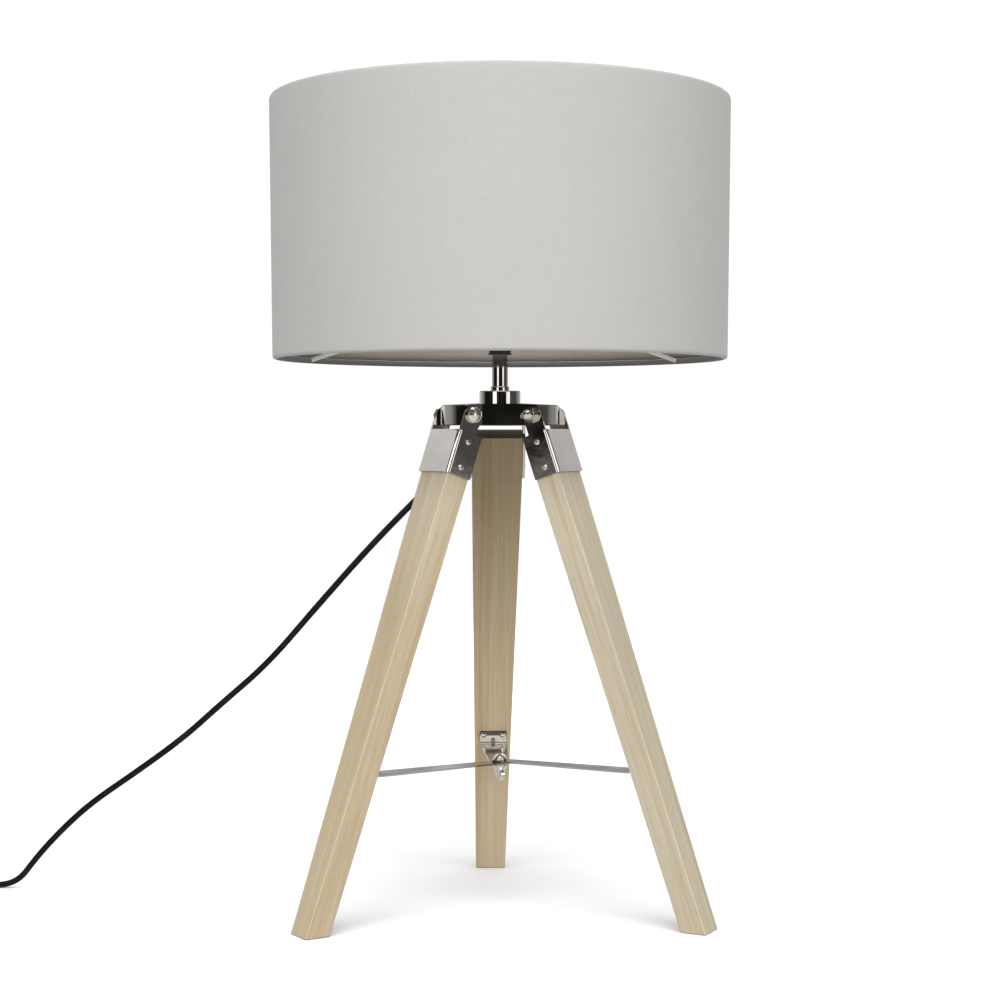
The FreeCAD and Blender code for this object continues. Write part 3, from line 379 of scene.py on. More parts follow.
# ---------------------------------------------------------------- cloth and lining
def shade_cloth_material(colour):
    """Fine plain-weave cloth: a weave of sines on its UV, with uneven threads both ways. The
    lip turned in under the lower wire is painted dark: painted shade for the hem's shadow."""
    f = Finish("shade_cloth", uv=True)
    across = f.noise(f.scaled((55.0, 1700.0, 1.0)), roughness=0.6)
    upright = f.noise(f.scaled((1700.0, 55.0, 1.0)), roughness=0.6)
    mottled = f.noise(f.scaled((14.0, 14.0, 1.0)), detail=4.0, roughness=0.55)
    u, v, _ = f.axes()
    warp = f.count("SINE", f.times(u, 2 * math.pi / WARP_PITCH))
    weft = f.count("SINE", f.times(v, 2 * math.pi / WEFT_PITCH))
    threads = f.plus(across, upright)
    height = f.count("MULTIPLY_ADD", f.times(warp, weft), 0.22, threads)
    shade = f.blend(f.spread(threads, 0.72, 1.28), tinted(colour, 0.965), tinted(colour, 1.03))
    shade = f.blend(f.spread(mottled, 0.3, 0.7, 0.0, 0.35), shade, tinted(colour, 1.03))
    # Painted shade: the turned-in lower lip is darkened where the hem would shade it.
    painted_lip_shade = f.times(f.spread(v, 0.8 * MM, 1.3 * MM), f.spread(v, 5.6 * MM, 7.8 * MM, 1.0, 0.0))
    shade = f.blend(f.times(painted_lip_shade, 0.86), shade, tinted(colour, 0.2))
    rough = f.spread(threads, 0.7, 1.3, 0.96, 0.86)
    return f.done(shade, rough, f.relief(height, 0.09 * MM, 0.4), Sheen_Weight=0.12,
                  Sheen_Roughness=0.6, Specular_IOR_Level=0.25)


def shade_lining_material(colour):
    """Semi-matt lining sheet, a little cloudy, with faint lines where it was rolled."""
    f = Finish("shade_lining", uv=True)
    cloud = f.noise(f.scaled((18.0, 18.0, 1.0)))
    lines = f.noise(f.scaled((420.0, 6.0, 1.0)), detail=2.0)
    shade = f.blend(f.spread(cloud, 0.3, 0.7), tinted(colour, 0.95), tinted(colour, 1.05))
    rough = f.spread(lines, 0.3, 0.7, 0.5, 0.62)
    return f.done(shade, rough, f.relief(lines, 0.04 * MM, 0.4), Specular_IOR_Level=0.4)


# ---------------------------------------------------------------- wood
def leg_coordinates(f, heading):
    """Distances along, across and through a leg from its pivot, as dot products of the place
    with the leaning leg's own axes."""
    turn = math.radians(heading)
    east, north = math.cos(turn), math.sin(turn)
    lean, rise = math.sin(LEG_TILT), math.cos(LEG_TILT)
    pivot = (PIVOT_RADIUS * east, PIVOT_RADIUS * north, PIVOT_HEIGHT)
    local = f.add("ShaderNodeVectorMath", {0: f.place, 1: pivot}, operation="SUBTRACT").outputs[0]
    leg_axes = ((-east * lean, -north * lean, rise), (-north, east, 0.0),
                (east * rise, north * rise, lean))
    return [f.add("ShaderNodeVectorMath", {0: local, 1: axis}, operation="DOT_PRODUCT").outputs[1]
            for axis in leg_axes]


def growth_lines(f, placed, over, through, pith):
    """Late wood: the distance from the pith, which wanders along the leg, taken modulo one
    ring's width. Each ring darkens slowly and ends sharply."""
    drift = f.noise(f.scaled((2.2, 26.0, 26.0), placed), detail=2.0, roughness=0.45)
    beside = f.plus(over, pith)
    depth = f.plus(through, PITH_DEPTH)
    reach = f.count("SQRT", f.plus(f.times(beside, beside), f.times(depth, depth)))
    wandering = f.count("MULTIPLY_ADD", drift, RING_WANDER, reach)
    years = f.count("MODULO", f.times(wandering, 1.0 / GROWTH_RING), 1.0)
    return f.times(f.spread(years, 0.35, 0.86), f.spread(years, 0.9, 1.0, 1.0, 0.0))


def edge_wear_and_highlight(f, along, over, through):
    """One along a leg's four long edges, from its distances to the tapering sides and faces."""
    half = f.spread(along, LEG_FOOT, LEG_TAPER_TOP, *LEG_HALF_WIDTHS)
    side = f.count("DIVIDE", f.count("ABSOLUTE", over), half)
    middle = f.count("ABSOLUTE", f.plus(through, -(LEG_OUTER + LEG_INNER) / 2))
    front = f.count("DIVIDE", middle, (LEG_OUTER - LEG_INNER) / 2)
    return f.times(f.spread(side, 0.90, 1.02), f.spread(front, 0.86, 1.0))


def leg_wood_material(name, bare, wash):
    """Pale limed wood: growth lines run along the leg, pores are short dashes, the wash stays
    in the grain, and painted light and shade change the leg's colour from its foot to its head."""
    leg = LEGS[name]
    f = Finish("leg_wood_" + name)
    along, over, through = leg_coordinates(f, leg["heading"])
    placed = f.add("ShaderNodeCombineXYZ", {0: f.plus(along, leg["shift"]), 1: over,
                                            2: f.plus(through, leg["shift"])}).outputs[0]

    def grain(length, width, detail=2.0, roughness=0.5):
        return f.noise(f.scaled((length, width, width), placed), 1.0, detail, roughness)

    late = growth_lines(f, placed, over, through, leg["pith"])
    fibre = grain(9.0, 620.0, 3.0, 0.6)
    fine = grain(30.0, 1900.0)
    pores = f.spread(grain(60.0, 1500.0, 1.0), 0.68, 0.78)
    stain = f.spread(grain(5.0, 60.0, 3.0), 0.32, 0.68, 0.42, 0.86)
    hue = f.spread(grain(2.6, 95.0, 2.0, 0.4), 0.36, 0.64)
    streak = f.spread(grain(1.6, 150.0), 0.52, 0.72)
    lime = f.spread(grain(6.5, 170.0, 3.0, 0.6), 0.46, 0.70)

    colour = f.blend(f.times(late, 0.34), bare, tinted(bare, 0.80))
    colour = f.blend(stain, colour, wash)
    colour = f.blend(0.55, colour, f.blend(hue, (0.445, 0.362, 0.262), (0.410, 0.366, 0.232)))
    colour = f.blend(f.times(streak, 0.48), colour, (0.36, 0.235, 0.120))
    colour = f.blend(f.times(lime, 0.30), colour, (0.55, 0.49, 0.40))
    colour = f.blend(f.spread(fibre, 0.28, 0.72, 0.34, 0.0), colour, tinted(bare, 0.74))
    colour = f.blend(f.spread(fine, 0.4, 0.75, 0.0, 0.30), colour, tinted(wash, 1.16))
    colour = f.blend(f.times(pores, 0.35), colour, tinted(bare, 0.55))
    # Painted light and shade: the colour is multiplied by tints that change from foot to head.
    painted_light_tone = f.blend(f.spread(along, leg["fade"], -0.03), leg["foot"], leg["head"])
    colour = f.blend(1.0, colour, painted_light_tone, "MULTIPLY")
    # The sawn top is darker both as end grain and as painted shade under the hub.
    end_grain_and_shade = f.spread(along, LEG_TOP - 0.6 * MM, LEG_TOP - 0.1 * MM)
    colour = f.blend(end_grain_and_shade, colour, tinted(bare, 0.34))
    # Paler along the four long edges: partly wear, partly a faint painted highlight.
    wear_and_highlight = edge_wear_and_highlight(f, along, over, through)
    colour = f.blend(f.times(wear_and_highlight, 0.04), colour, tinted(wash, 1.06))

    rough = f.spread(f.plus(fibre, late), 0.3, 1.4, 0.66, 0.50)
    height = f.count("MULTIPLY_ADD", late, 0.5, f.plus(fibre, f.times(fine, 0.5)))
    height = f.count("MULTIPLY_ADD", pores, -0.9, height)
    return f.done(colour, rough, f.relief(height, 0.16 * MM, 0.5), Specular_IOR_Level=0.25)


# ---------------------------------------------------------------- metal
def plating(f, colour, gloss, waviness, scale):
    """Bright plating over polished sheet: slow waves from the polishing, fine hairlines, and
    faint smudges that change the gloss. Returns its colour, roughness and normal."""
    waves = f.noise(f.place, scale, 2.0)
    hair = f.noise(f.scaled((2600.0, 210.0, 900.0)), detail=2.0)
    smudge = f.noise(f.place, 34.0, 4.0, 0.6, 0.4)
    shade = f.blend(f.spread(smudge, 0.35, 0.7), tinted(colour, 1.04), tinted(colour, 0.93))
    rough = f.spread(smudge, 0.35, 0.75, *gloss)
    return shade, rough, f.relief(hair, 0.006 * MM, 0.35, f.relief(waves, waviness, 0.5))


def plated_material(name, colour, roughness, waviness, scale=90.0):
    f = Finish(name)
    gloss = (roughness * 0.7, roughness * 1.7)
    return f.done(*plating(f, colour, gloss, waviness, scale), Metallic=1.0)


def brace_material(colour):
    """The brace's plating, with the upright tab painted dark: painted shade, standing in
    for the dark floor it reflects.
    """
    f = Finish("chrome_brace")
    shade, rough, normal = plating(f, colour, (0.08, 0.19), 0.08 * MM, 120.0)
    # Painted shade: above the bend the tab's colour is darkened to 0.15 of the plating.
    upright = f.spread(f.axes()[2], BRACE_TAB_START, BRACE_TAB_START + 1.0 * MM)
    return f.done(f.blend(upright, shade, tinted(colour, 0.15)), rough, normal, Metallic=1.0)


def brushed_material(name, colour, roughness):
    """Plated steel as it comes from the barrel: fine cross-going lines and dull spots."""
    f = Finish(name)
    lines = f.noise(f.scaled((1500.0, 1500.0, 200.0)), roughness=0.6)
    spots = f.noise(f.place, 260.0)
    shade = f.blend(f.spread(spots, 0.3, 0.7), tinted(colour, 1.05), tinted(colour, 0.86))
    rough = f.spread(spots, 0.3, 0.7, roughness * 0.8, roughness * 1.4)
    return f.done(shade, rough, f.relief(lines, 0.02 * MM, 0.4), Metallic=1.0)


# ---------------------------------------------------------------- coats, plastic, glass
def coated_wire_material():
    """White powder coat: slight orange peel and a faint greying where dust settles."""
    f = Finish("coated_wire")
    peel = f.noise(f.place, 1400.0, 2.0)
    dust = f.noise(f.place, 60.0)
    shade = f.blend(f.spread(dust, 0.3, 0.75), (0.66, 0.65, 0.63), (0.56, 0.55, 0.53))
    return f.done(shade, f.spread(dust, 0.3, 0.7, 0.34, 0.5), f.relief(peel, 0.04 * MM, 0.5))


def moulded_material(name, colour, roughness, texture=900.0):
    """Moulded plastic: a fine even spark texture, and gloss that wanders with handling."""
    f = Finish(name)
    spark = f.noise(f.place, texture, 2.0)
    cloud = f.noise(f.place, 45.0)
    shade = f.blend(f.spread(cloud, 0.3, 0.7), tinted(colour, 0.85), tinted(colour, 1.25))
    rough = f.spread(cloud, 0.3, 0.7, roughness * 0.85, roughness * 1.2)
    return f.done(shade, rough, f.relief(spark, 0.03 * MM, 0.5), Specular_IOR_Level=0.5)


def flex_material():
    """Black plastic sheath: satin, with faint dust and slow dents along it."""
    f = Finish("flex_sheath")
    dents = f.noise(f.place, 130.0, 2.0)
    sheath_grain = f.noise(f.place, 2400.0, 2.0)
    dust = f.noise(f.place, 50.0, 4.0, 0.6)
    shade = f.blend(f.spread(dust, 0.45, 0.75), (0.004, 0.004, 0.0045), (0.009, 0.009, 0.010))
    rough = f.spread(dust, 0.3, 0.7, 0.22, 0.36)
    normal = f.relief(sheath_grain, 0.02 * MM, 0.3, f.relief(dents, 0.1 * MM, 0.25))
    return f.done(shade, rough, normal, Specular_IOR_Level=0.13)


def opal_glass_material():
    """White opal glass: smooth, a little cloudy inside, with a clear gloss coat."""
    f = Finish("opal_glass")
    cloud = f.noise(f.place, 30.0)
    shade = f.blend(f.spread(cloud, 0.3, 0.7), (0.80, 0.80, 0.78), (0.88, 0.88, 0.87))
    return f.done(shade, f.spread(cloud, 0.3, 0.7, 0.16, 0.22), None, Coat_Weight=0.4,
                  Coat_Roughness=0.05)


def porcelain_material():
    """Unglazed porcelain of the lampholder's insert, with fine grain and faint staining."""
    f = Finish("porcelain")
    speckle = f.noise(f.place, 1600.0, 2.0)
    stain = f.noise(f.place, 70.0)
    shade = f.blend(f.spread(stain, 0.4, 0.75), (0.78, 0.76, 0.72), (0.66, 0.62, 0.55))
    rough = f.spread(speckle, 0.3, 0.7, 0.5, 0.66)
    return f.done(shade, rough, f.relief(speckle, 0.05 * MM, 0.4))


# ---------------------------------------------------------------- flex
def coil_points():
    """Half circles that spiral in on the floor, climb one layer on the innermost one and
    spiral out again above. Each has eight points, so a whole turn has sixteen."""
    end = np.array(FLEX_ROUTE_MM[-1]) * MM
    before = np.array(FLEX_ROUTE_MM[-2]) * MM
    way = (end - before) / np.linalg.norm(end - before)
    start = end + way * COIL_LEAD
    shrink = COIL_STEP / 2
    steps_in = np.append(np.arange(COIL_HALVES_IN + 1),
                         COIL_HALVES_IN - np.arange(1, COIL_HALVES_OUT + 1))
    angle = (np.arange(POINTS_PER_HALF) + 0.5) * math.pi / POINTS_PER_HALF
    points = []
    for half, radius in enumerate(COIL_RADIUS - shrink * steps_in):
        left = np.array([-way[1], way[0], 0.0])
        rise = COIL_STEP if half == COIL_HALVES_IN else 0.0
        centre = start + left * radius
        arc = centre + radius * (np.outer(np.sin(angle), way) - np.outer(np.cos(angle), left))
        arc[:, 2] += rise * angle / math.pi
        points.append(arc)
        start = start + left * 2 * radius + np.array([0.0, 0.0, rise])
        way = -way
    tail = start + np.outer([0.3, 1.0], way) * COIL_TAIL
    return np.vstack(points + [tail])


def make_tie(coil):
    """A flat strap round the coil's bundle: a rounded rectangle in the plane of the coil's
    radius, carried along the turns by the strap's width."""
    centre = coil[:, :2].mean(axis=0)
    spoke = coil[:, :2] - centre
    near = np.abs(np.arctan2(spoke[:, 1], spoke[:, 0]) - TIE_HEADING) < TIE_REACH
    reach = np.linalg.norm(spoke[near], axis=1)
    inner, outer = reach.min() - TIE_CLEARANCE, reach.max() + TIE_CLEARANCE
    low, high = TIE_LOWEST, coil[:, 2].max() + TIE_CLEARANCE
    turn = full_turn(48)
    out, up = np.cos(turn), np.sin(turn)
    straight_out, straight_up = (outer - inner) / 2 - TIE_CORNER, (high - low) / 2 - TIE_CORNER
    ring = (inner + outer) / 2 + np.sign(out) * straight_out + TIE_CORNER * out
    rise = (low + high) / 2 + np.sign(up) * straight_up + TIE_CORNER * up
    section = np.array(TIE_SECTION_MM) * MM
    radial = ring[:, None] + out[:, None] * section[None, :, 1]
    height = np.maximum(rise[:, None] + up[:, None] * section[None, :, 1], 0.05 * MM)
    along = np.broadcast_to(section[None, :, 0], radial.shape)
    x = centre[0] + radial * math.cos(TIE_HEADING) - along * math.sin(TIE_HEADING)
    y = centre[1] + radial * math.sin(TIE_HEADING) + along * math.cos(TIE_HEADING)
    faces = grid_faces(len(turn), len(section), wrap_rows=True, wrap_columns=True)
    tie = new_mesh_object("flex_tie", np.stack([x, y, height], axis=-1), faces)
    dress(tie, moulded_material("tie_strap", (0.02, 0.02, 0.022), 0.5))
    return tie


class LAMP_OT_flex(bpy.types.Operator):
    """Make the flex as one smooth spline, from its strain relief to the coil and the plug"""
    bl_idname = "lamp.make_flex"
    bl_label = "Flex"

    def execute(self, context):
        settings = context.scene.lamp_flex
        coil = coil_points()
        points = np.vstack([np.array([FLEX_EXIT]), np.array(FLEX_ROUTE_MM) * MM, coil])
        curve = bpy.data.curves.new("flex", "CURVE")
        curve.dimensions = "3D"
        spline = curve.splines.new("NURBS")
        spline.points.add(len(points) - 1)
        spline.points.foreach_set("co", np.column_stack([points, np.ones(len(points))]).ravel())
        spline.order_u = 3
        spline.use_endpoint_u = True
        spline.resolution_u = 8
        curve.bevel_depth = settings.diameter / 2
        curve.bevel_resolution = settings.sides
        curve.use_fill_caps = True
        flex = bpy.data.objects.new("flex", curve)
        context.scene.collection.objects.link(flex)
        curve.materials.append(flex_material())
        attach(flex, "lamp")
        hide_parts("cord", "cord_coil")
        tie = make_tie(coil[:-2])
        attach(tie, "lamp")
        return {"FINISHED"}


# ---------------------------------------------------------------- shade
def shade_section(settings):
    """The cloth's section from its lower turned-in lip, round the wire, up the wall, round the
    upper wire to the other lip: radius and height of each point, evenly stepped on the bends."""
    low_z = settings.bottom_z + HEM_RADIUS
    high_z = settings.bottom_z + settings.height - HEM_RADIUS
    low_r = settings.bottom_radius - HEM_RADIUS
    high_r = settings.top_radius - HEM_RADIUS
    bend = np.linspace(-1.45 * math.pi, 0.0, 22)
    across, rise = HEM_RADIUS * np.cos(bend), HEM_RADIUS * np.sin(bend)
    low = np.column_stack([low_r + across, low_z + rise])
    high = np.column_stack([high_r + across, high_z - rise])[::-1]
    share = np.linspace(0.0, 1.0, 42)[1:-1, None]
    return np.vstack([low, low[-1] * (1 - share) + high[0] * share, high])


def make_cloth(settings):
    """The cloth: its section turned round the shade. Its radius grows at the seam and swings
    with two slow sines between the wires, and two quicker ones make its lips wavy. Returns the
    piece and the length of its section."""
    section = shade_section(settings)
    turn = full_turn(360)
    seam = overlap(turn, CLOTH_SEAM, 2.2, 1.9)
    lip = np.exp(-np.arange(len(section)) / 4.0)
    lip = lip + lip[::-1]
    wave = np.sin(turn * 23.0 + 0.7) + 0.6 * np.sin(turn * 41.0 + 2.1)
    slack = np.sin(turn * 5.0 + 0.4) + 0.5 * np.sin(turn * 9.0 + 1.9)
    middle = np.sin(np.linspace(0.0, math.pi, len(section)))
    radius = section[:, 0, None] + CLOTH_SEAM_RISE * np.outer(middle ** 0.3, seam)
    radius = radius + CLOTH_SLACK * np.outer(middle, slack)
    height = section[:, 1, None] + LIP_WAVE * np.outer(lip, wave)
    points = np.stack([radius * np.cos(turn), radius * np.sin(turn), height], axis=-1)
    faces = grid_faces(len(section), len(turn), wrap_columns=True)
    cloth = new_mesh_object("shade_cloth", points, faces)
    walked = np.append(0.0, np.cumsum(np.linalg.norm(np.diff(section, axis=0), axis=1)))
    v, u = np.meshgrid(walked, CLOTH_PATTERN_RADIUS * turn, indexing="ij")
    put_uv(cloth, u, v, CLOTH_PATTERN_RADIUS * 2 * math.pi)
    thicken(cloth, CLOTH_THICKNESS)
    dress(cloth, shade_cloth_material(settings.cloth_colour))
    return cloth, float(walked[-1])


def make_lining(settings):
    """The lining: a drum just inside the cloth, between the two turned-in lips. Its radius
    follows the cloth's slope and is less at the seam."""
    low = settings.bottom_z + 2 * HEM_RADIUS
    high = settings.bottom_z + settings.height - 2 * HEM_RADIUS
    flare = settings.top_radius - settings.bottom_radius
    z, turn = np.meshgrid(low + (high - low) * np.linspace(0.0, 1.0, 30), full_turn(240),
                          indexing="ij")
    radius = settings.bottom_radius + flare * (z - settings.bottom_z) / settings.height
    radius = radius - LINING_INSET - LINING_SEAM_RISE * overlap(turn, LINING_SEAM, 2.6, 2.3)
    points = np.stack([radius * np.cos(turn), radius * np.sin(turn), z], axis=-1)
    lining = new_mesh_object("shade_lining_sheet", points, grid_faces(*z.shape, wrap_columns=True))
    put_uv(lining, LINING_PATTERN_RADIUS * turn, z, LINING_PATTERN_RADIUS * 2 * math.pi)
    thicken(lining, LINING_THICKNESS)
    dress(lining, shade_lining_material(settings.lining_colour))
    return lining


class LAMP_OT_shade(bpy.types.Operator):
    """Make the shade's cloth, turned round both wires, and its lining"""
    bl_idname = "lamp.make_shade"
    bl_label = "Shade"

    def execute(self, context):
        settings = context.scene.lamp_shade
        cloth, length = make_cloth(settings)
        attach(cloth, "shade")
        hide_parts("shade_fabric")
        lining = make_lining(settings)
        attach(lining, "shade")
        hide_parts("shade_liner")
        dress_nodes({coated_wire_material(): [
            "shade_bottom_ring", "shade_top_ring", "shade_fitter_ring",
            "shade_arm_1", "shade_arm_2", "shade_arm_3"]})
        return {"FINISHED"}


# ---------------------------------------------------------------- legs, metal, lampholder
class LAMP_OT_wood(bpy.types.Operator):
    """Give each leg its limed wood, with the grain along that leg"""
    bl_idname = "lamp.finish_wood"
    bl_label = "Wooden legs"

    def execute(self, context):
        settings = context.scene.lamp_wood
        for name in LEGS:
            wood = leg_wood_material(name, settings.base_colour, settings.wash_colour)
            dress(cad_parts["leg_" + name], wood)
        return {"FINISHED"}


class LAMP_OT_metal(bpy.types.Operator):
    """Give the hub, stem, brackets, brace and screws their plating"""
    bl_idname = "lamp.finish_metal"
    bl_label = "Metal"

    def execute(self, context):
        settings = context.scene.lamp_metal
        bright, steel = settings.chrome_colour, settings.screw_colour
        chrome = plated_material("chrome_hub", bright, 0.05, 0.03 * MM)
        bracket = plated_material("chrome_bracket", bright, 0.075, 0.12 * MM, 70.0)
        bolt = plated_material("plated_bolt", steel, 0.10, 0.03 * MM)
        screw = plated_material("plated_screw", steel, 0.12, 0.03 * MM)
        dress_nodes({
            chrome: ["hub", "stem_cup", "stem_collar", "stem_tube"],
            bracket: ["leg_bracket_"],
            brace_material(settings.brace_colour): ["brace_arm_"],
            bolt: ["pivot_bolt_", "pivot_nut_", "pivot_washers_", "brace_bolt", "wing_nut"],
            screw: ["bracket_screws_", "brace_screws_", "brace_top_washer",
                    "brace_bottom_washer"],
            brushed_material("zinc_thread", tinted(steel, 0.8), 0.34): [
                "threaded_tube", "hub_nut"],
        })
        return {"FINISHED"}


class LAMP_OT_holder(bpy.types.Operator):
    """Give the lampholder, bulb, switch, strain relief and plug their finishes"""
    bl_idname = "lamp.finish_holder"
    bl_label = "Lampholder, bulb and plug"

    def execute(self, context):
        black = moulded_material("black_moulding", (0.014, 0.014, 0.015), 0.3)
        rubber = moulded_material("flex_moulding", (0.012, 0.012, 0.013), 0.42, 1500.0)
        brass = brushed_material("brass_contact", (0.70, 0.52, 0.25), 0.26)
        tin = brushed_material("bulb_cap_metal", (0.66, 0.65, 0.62), 0.24)
        dress_nodes({
            black: ["lampholder_base", "lampholder_skirt", "shade_retaining_ring", "switch_bar"],
            rubber: ["cord_gland", "plug_body"],
            brass: ["lampholder_shell", "plug_pins"],
            tin: ["bulb_cap"],
            porcelain_material(): ["lampholder_insert"],
            opal_glass_material(): ["bulb_glass"],
        })
        return {"FINISHED"}


# ---------------------------------------------------------------- stage
def softbox(context, name, heading, distance, height, size, power, tint):
    """A soft light on a circle round the lamp, turned to face it."""
    light = bpy.data.lights.new(name, "AREA")
    light.shape = "RECTANGLE"
    light.size, light.size_y = size
    light.energy = power
    light.color = tint
    box = bpy.data.objects.new(name, light)
    turn = math.radians(heading)
    box.location = (distance * math.cos(turn), distance * math.sin(turn), height)
    facing = Vector((0.0, 0.0, 0.4)) - box.location
    box.rotation_euler = facing.to_track_quat("-Z", "Y").to_euler()
    box.visible_camera = False
    context.scene.collection.objects.link(box)


def overhead_light(context, strength):
    """Even light from a wide ceiling: its rays come from a cone of sixty degrees."""
    light = bpy.data.lights.new("ceiling", "SUN")
    light.energy = strength
    light.angle = math.radians(60.0)
    ceiling = bpy.data.objects.new("ceiling", light)
    ceiling.location = (0.0, -2.0, 3.0)
    ceiling.rotation_euler = (math.radians(38.0), 0.0, 0.0)
    context.scene.collection.objects.link(ceiling)


def studio_surround(scene, brightness):
    """White wherever the camera looks straight at it. Lamps and metal see a studio: pale walls
    behind, brightest to the left and right and dimmer near level there, a dim ceiling, and a
    dark room with a few upright streaks on the camera's side."""
    world = bpy.data.worlds.new("studio")
    scene.world = world
    world.use_nodes = True
    world.node_tree.nodes.clear()
    g = Graph(world.node_tree, "Generated")
    right, back, up = g.axes()
    sideways = g.count("ABSOLUTE", right)
    walls = g.times(g.spread(back, 0.0, 0.5), g.spread(sideways, 0.2, 0.55, 0.42, 1.0))
    walls = g.times(walls, g.spread(right, -0.4, 0.6, 1.0, 0.78))
    horizon = g.times(g.spread(g.count("ABSOLUTE", up), 0.10, 0.20, 0.5, 0.0),
                      g.spread(sideways, 0.60, 0.75))
    walls = g.times(walls, g.count("SUBTRACT", 1.0, horizon))
    ceiling = g.spread(up, 0.4, 0.75, 0.0, 0.5)
    uprights = g.noise(g.scaled((11.0, 0.0, 0.35)), detail=2.0, roughness=0.6)
    streaks = g.times(g.spread(uprights, 0.55, 0.72, 0.0, 0.2),
                      g.spread(right, -0.9, -0.5, 0.45, 1.0))
    room = g.plus(streaks, g.spread(right, 0.60, 0.80, 0.012, 0.10))
    light = g.count("MAXIMUM", g.count("MAXIMUM", walls, ceiling), room)
    reflected = g.add("ShaderNodeBackground", {"Color": light, "Strength": brightness})
    white = g.add("ShaderNodeBackground", {"Color": (1.0, 1.0, 1.0, 1.0), "Strength": 1.05})
    g.add("ShaderNodeOutputWorld", {0: g.to_camera(white.outputs[0], reflected.outputs[0])})


def studio_paper_material():
    """White paper with a painted shadow: greyer near the lamp and in front of it. To the lamp's
    own light and metal it is greyer still, as under a light tent."""
    f = Finish("studio_paper")
    speckle = f.noise(f.place, 900.0, 2.0)
    shade = f.blend(f.spread(speckle, 0.3, 0.7), (0.90, 0.90, 0.90), (0.915, 0.915, 0.915))
    # Painted shadow: the paper is greyer within half a metre of the lamp.
    reach = f.add("ShaderNodeVectorMath", {0: f.place}, operation="LENGTH").outputs[1]
    shade = f.blend(f.spread(reach, 0.22, 0.5, 1.0, 0.0), shade, (0.815, 0.821, 0.835))
    # Painted shade: darker still in front of the lamp, so that shadows near the feet show.
    depth = f.axes()[1]
    front = f.times(f.spread(depth, -0.22, 0.10, 0.75, 0.0), f.spread(depth, -1.6, -0.7))
    shade = f.blend(front, shade, (0.62, 0.62, 0.63))
    material = f.done(shade, 0.9, None, Specular_IOR_Level=0.1)
    dim = f.add("ShaderNodeBsdfDiffuse", {"Color": (0.56, 0.55, 0.54, 1.0)})
    f.feed(f.nodes["Material Output"].inputs[0],
           f.to_camera(f.surface.outputs[0], dim.outputs[0]))
    return material


def paper_floor():
    """A round sheet of studio paper: rings of points from a middle point outwards."""
    reach = np.concatenate([np.linspace(0.05, 1.5, 12), np.linspace(2.0, 14.0, 9)])
    turn = full_turn(96)
    x, y = np.outer(reach, np.cos(turn)), np.outer(reach, np.sin(turn))
    points = np.stack([x, y, np.zeros_like(x)], axis=-1).reshape(-1, 3)
    faces = grid_faces(len(reach), len(turn), wrap_columns=True)[:, ::-1].tolist()
    middle = len(points)
    faces += [[middle, i, (i + 1) % len(turn)] for i in range(len(turn))]
    mesh = bpy.data.meshes.new("paper_floor")
    mesh.from_pydata([*points.tolist(), (0.0, 0.0, 0.0)], [], faces)
    floor = bpy.data.objects.new("paper_floor", mesh)
    bpy.context.scene.collection.objects.link(floor)
    dress(floor, studio_paper_material())
    return floor


class LAMP_OT_camera(bpy.types.Operator):
    """Place the camera where the photograph was taken from"""
    bl_idname = "lamp.place_camera"
    bl_label = "Camera"

    def execute(self, context):
        lens = bpy.data.cameras.new("camera")
        lens.sensor_width = SENSOR_WIDTH
        lens.lens = LENS_LENGTH
        lens.clip_end = 60.0
        camera = bpy.data.objects.new("camera", lens)
        camera.location = CAMERA_PLACE
        camera.rotation_euler = (CAMERA_PITCH, 0.0, CAMERA_TURN)
        context.scene.collection.objects.link(camera)
        context.scene.camera = camera
        return {"FINISHED"}


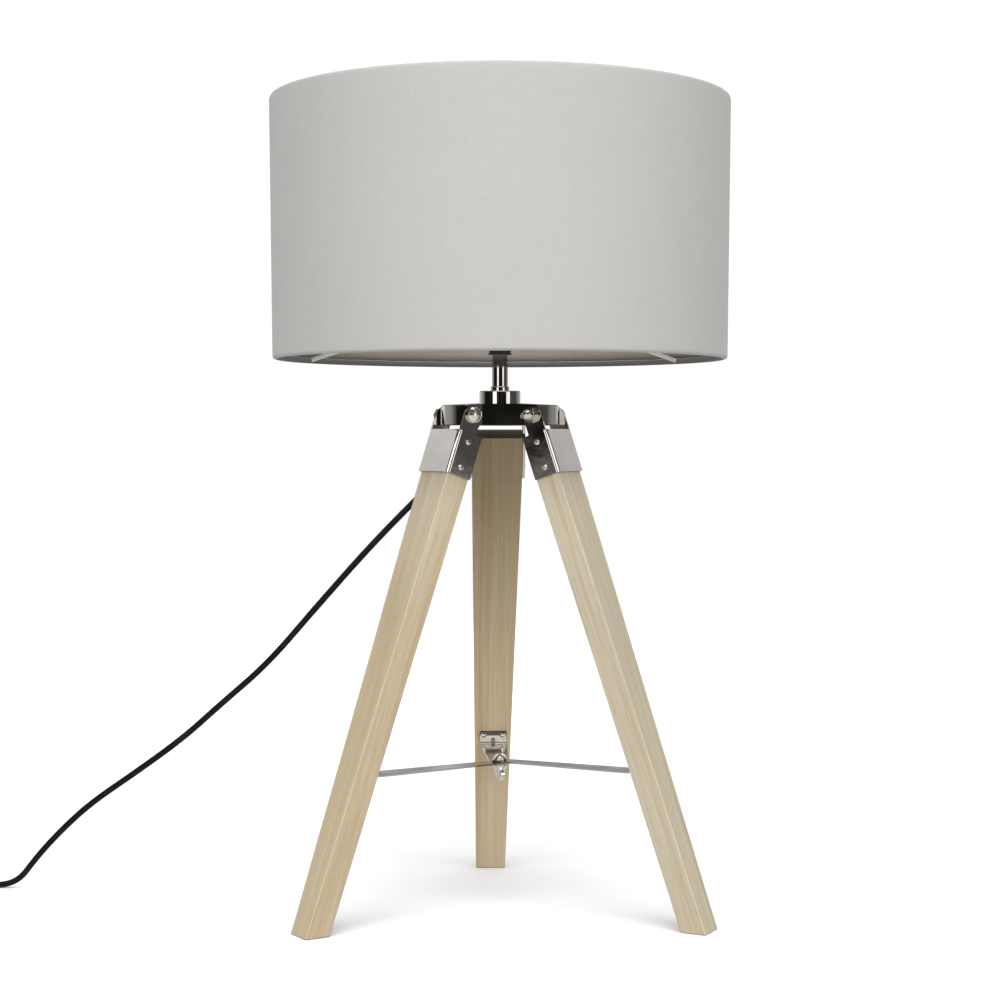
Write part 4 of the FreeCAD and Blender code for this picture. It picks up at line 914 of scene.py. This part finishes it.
class LAMP_OT_stage(bpy.types.Operator):
    """Set up the paper floor, the soft lights and the pale surround"""
    bl_idname = "lamp.set_stage"
    bl_label = "Stage"

    def execute(self, context):
        settings = context.scene.lamp_stage
        paper_floor()
        studio_surround(context.scene, settings.surround)
        key, strip = settings.key_power, settings.strip_power
        softbox(context, "key_left", 238.0, 1.9, 1.5, (1.9, 1.1), key, COOL)
        softbox(context, "key_right", 302.0, 1.9, 1.5, (1.9, 1.1), 0.85 * key, WARM)
        softbox(context, "strip_left", 238.0, 2.2, 0.6, (0.85, 0.8), strip, COOL)
        softbox(context, "strip_right", 314.0, 2.2, 0.6, (0.85, 0.8), 0.8 * strip, WARM)
        softbox(context, "fill_behind", 84.0, 2.4, 1.25, (2.2, 1.1), 0.9 * key, COOL)
        overhead_light(context, settings.overhead)
        view = context.scene.view_settings
        view.view_transform = "Standard"
        view.look = "None"
        view.exposure = 0.0
        view.gamma = 1.0
        return {"FINISHED"}


# ---------------------------------------------------------------- panel and registration
class LAMP_PT_panel(bpy.types.Panel):
    """Lists the lamp's pieces and the stage"""
    bl_idname = "LAMP_PT_panel"
    bl_label = "Tripod table lamp"
    bl_space_type = "VIEW_3D"
    bl_region_type = "UI"
    bl_category = "Lamp"

    def draw(self, context):
        for operator in OPERATORS:
            self.layout.operator(operator.bl_idname, text=operator.bl_label)
        for name in SETTINGS:
            box = self.layout.box()
            group = getattr(context.scene, name)
            for key in group.bl_rna.properties.keys():
                if key not in ("rna_type", "name"):
                    box.prop(group, key)


SETTINGS = {
    "lamp_shade": LampShadeSettings,
    "lamp_wood": LampWoodSettings,
    "lamp_metal": LampMetalSettings,
    "lamp_flex": LampFlexSettings,
    "lamp_stage": LampStageSettings,
}
OPERATORS = (LAMP_OT_camera, LAMP_OT_flex, LAMP_OT_shade, LAMP_OT_wood, LAMP_OT_metal,
             LAMP_OT_holder, LAMP_OT_stage)
CLASSES = (*SETTINGS.values(), *OPERATORS, LAMP_PT_panel)


def register():
    for kind in CLASSES:
        bpy.utils.register_class(kind)
    for name, group in SETTINGS.items():
        setattr(bpy.types.Scene, name, PointerProperty(type=group))


def unregister():
    for name in SETTINGS:
        delattr(bpy.types.Scene, name)
    for kind in reversed(CLASSES):
        bpy.utils.unregister_class(kind)


def main():
    register()
    bpy.ops.lamp.place_camera()
    bpy.ops.lamp.make_flex()
    bpy.ops.lamp.make_shade()
    bpy.ops.lamp.finish_wood()
    bpy.ops.lamp.finish_metal()
    bpy.ops.lamp.finish_holder()
    bpy.ops.lamp.set_stage()


if __name__ == "__main__":
    main()
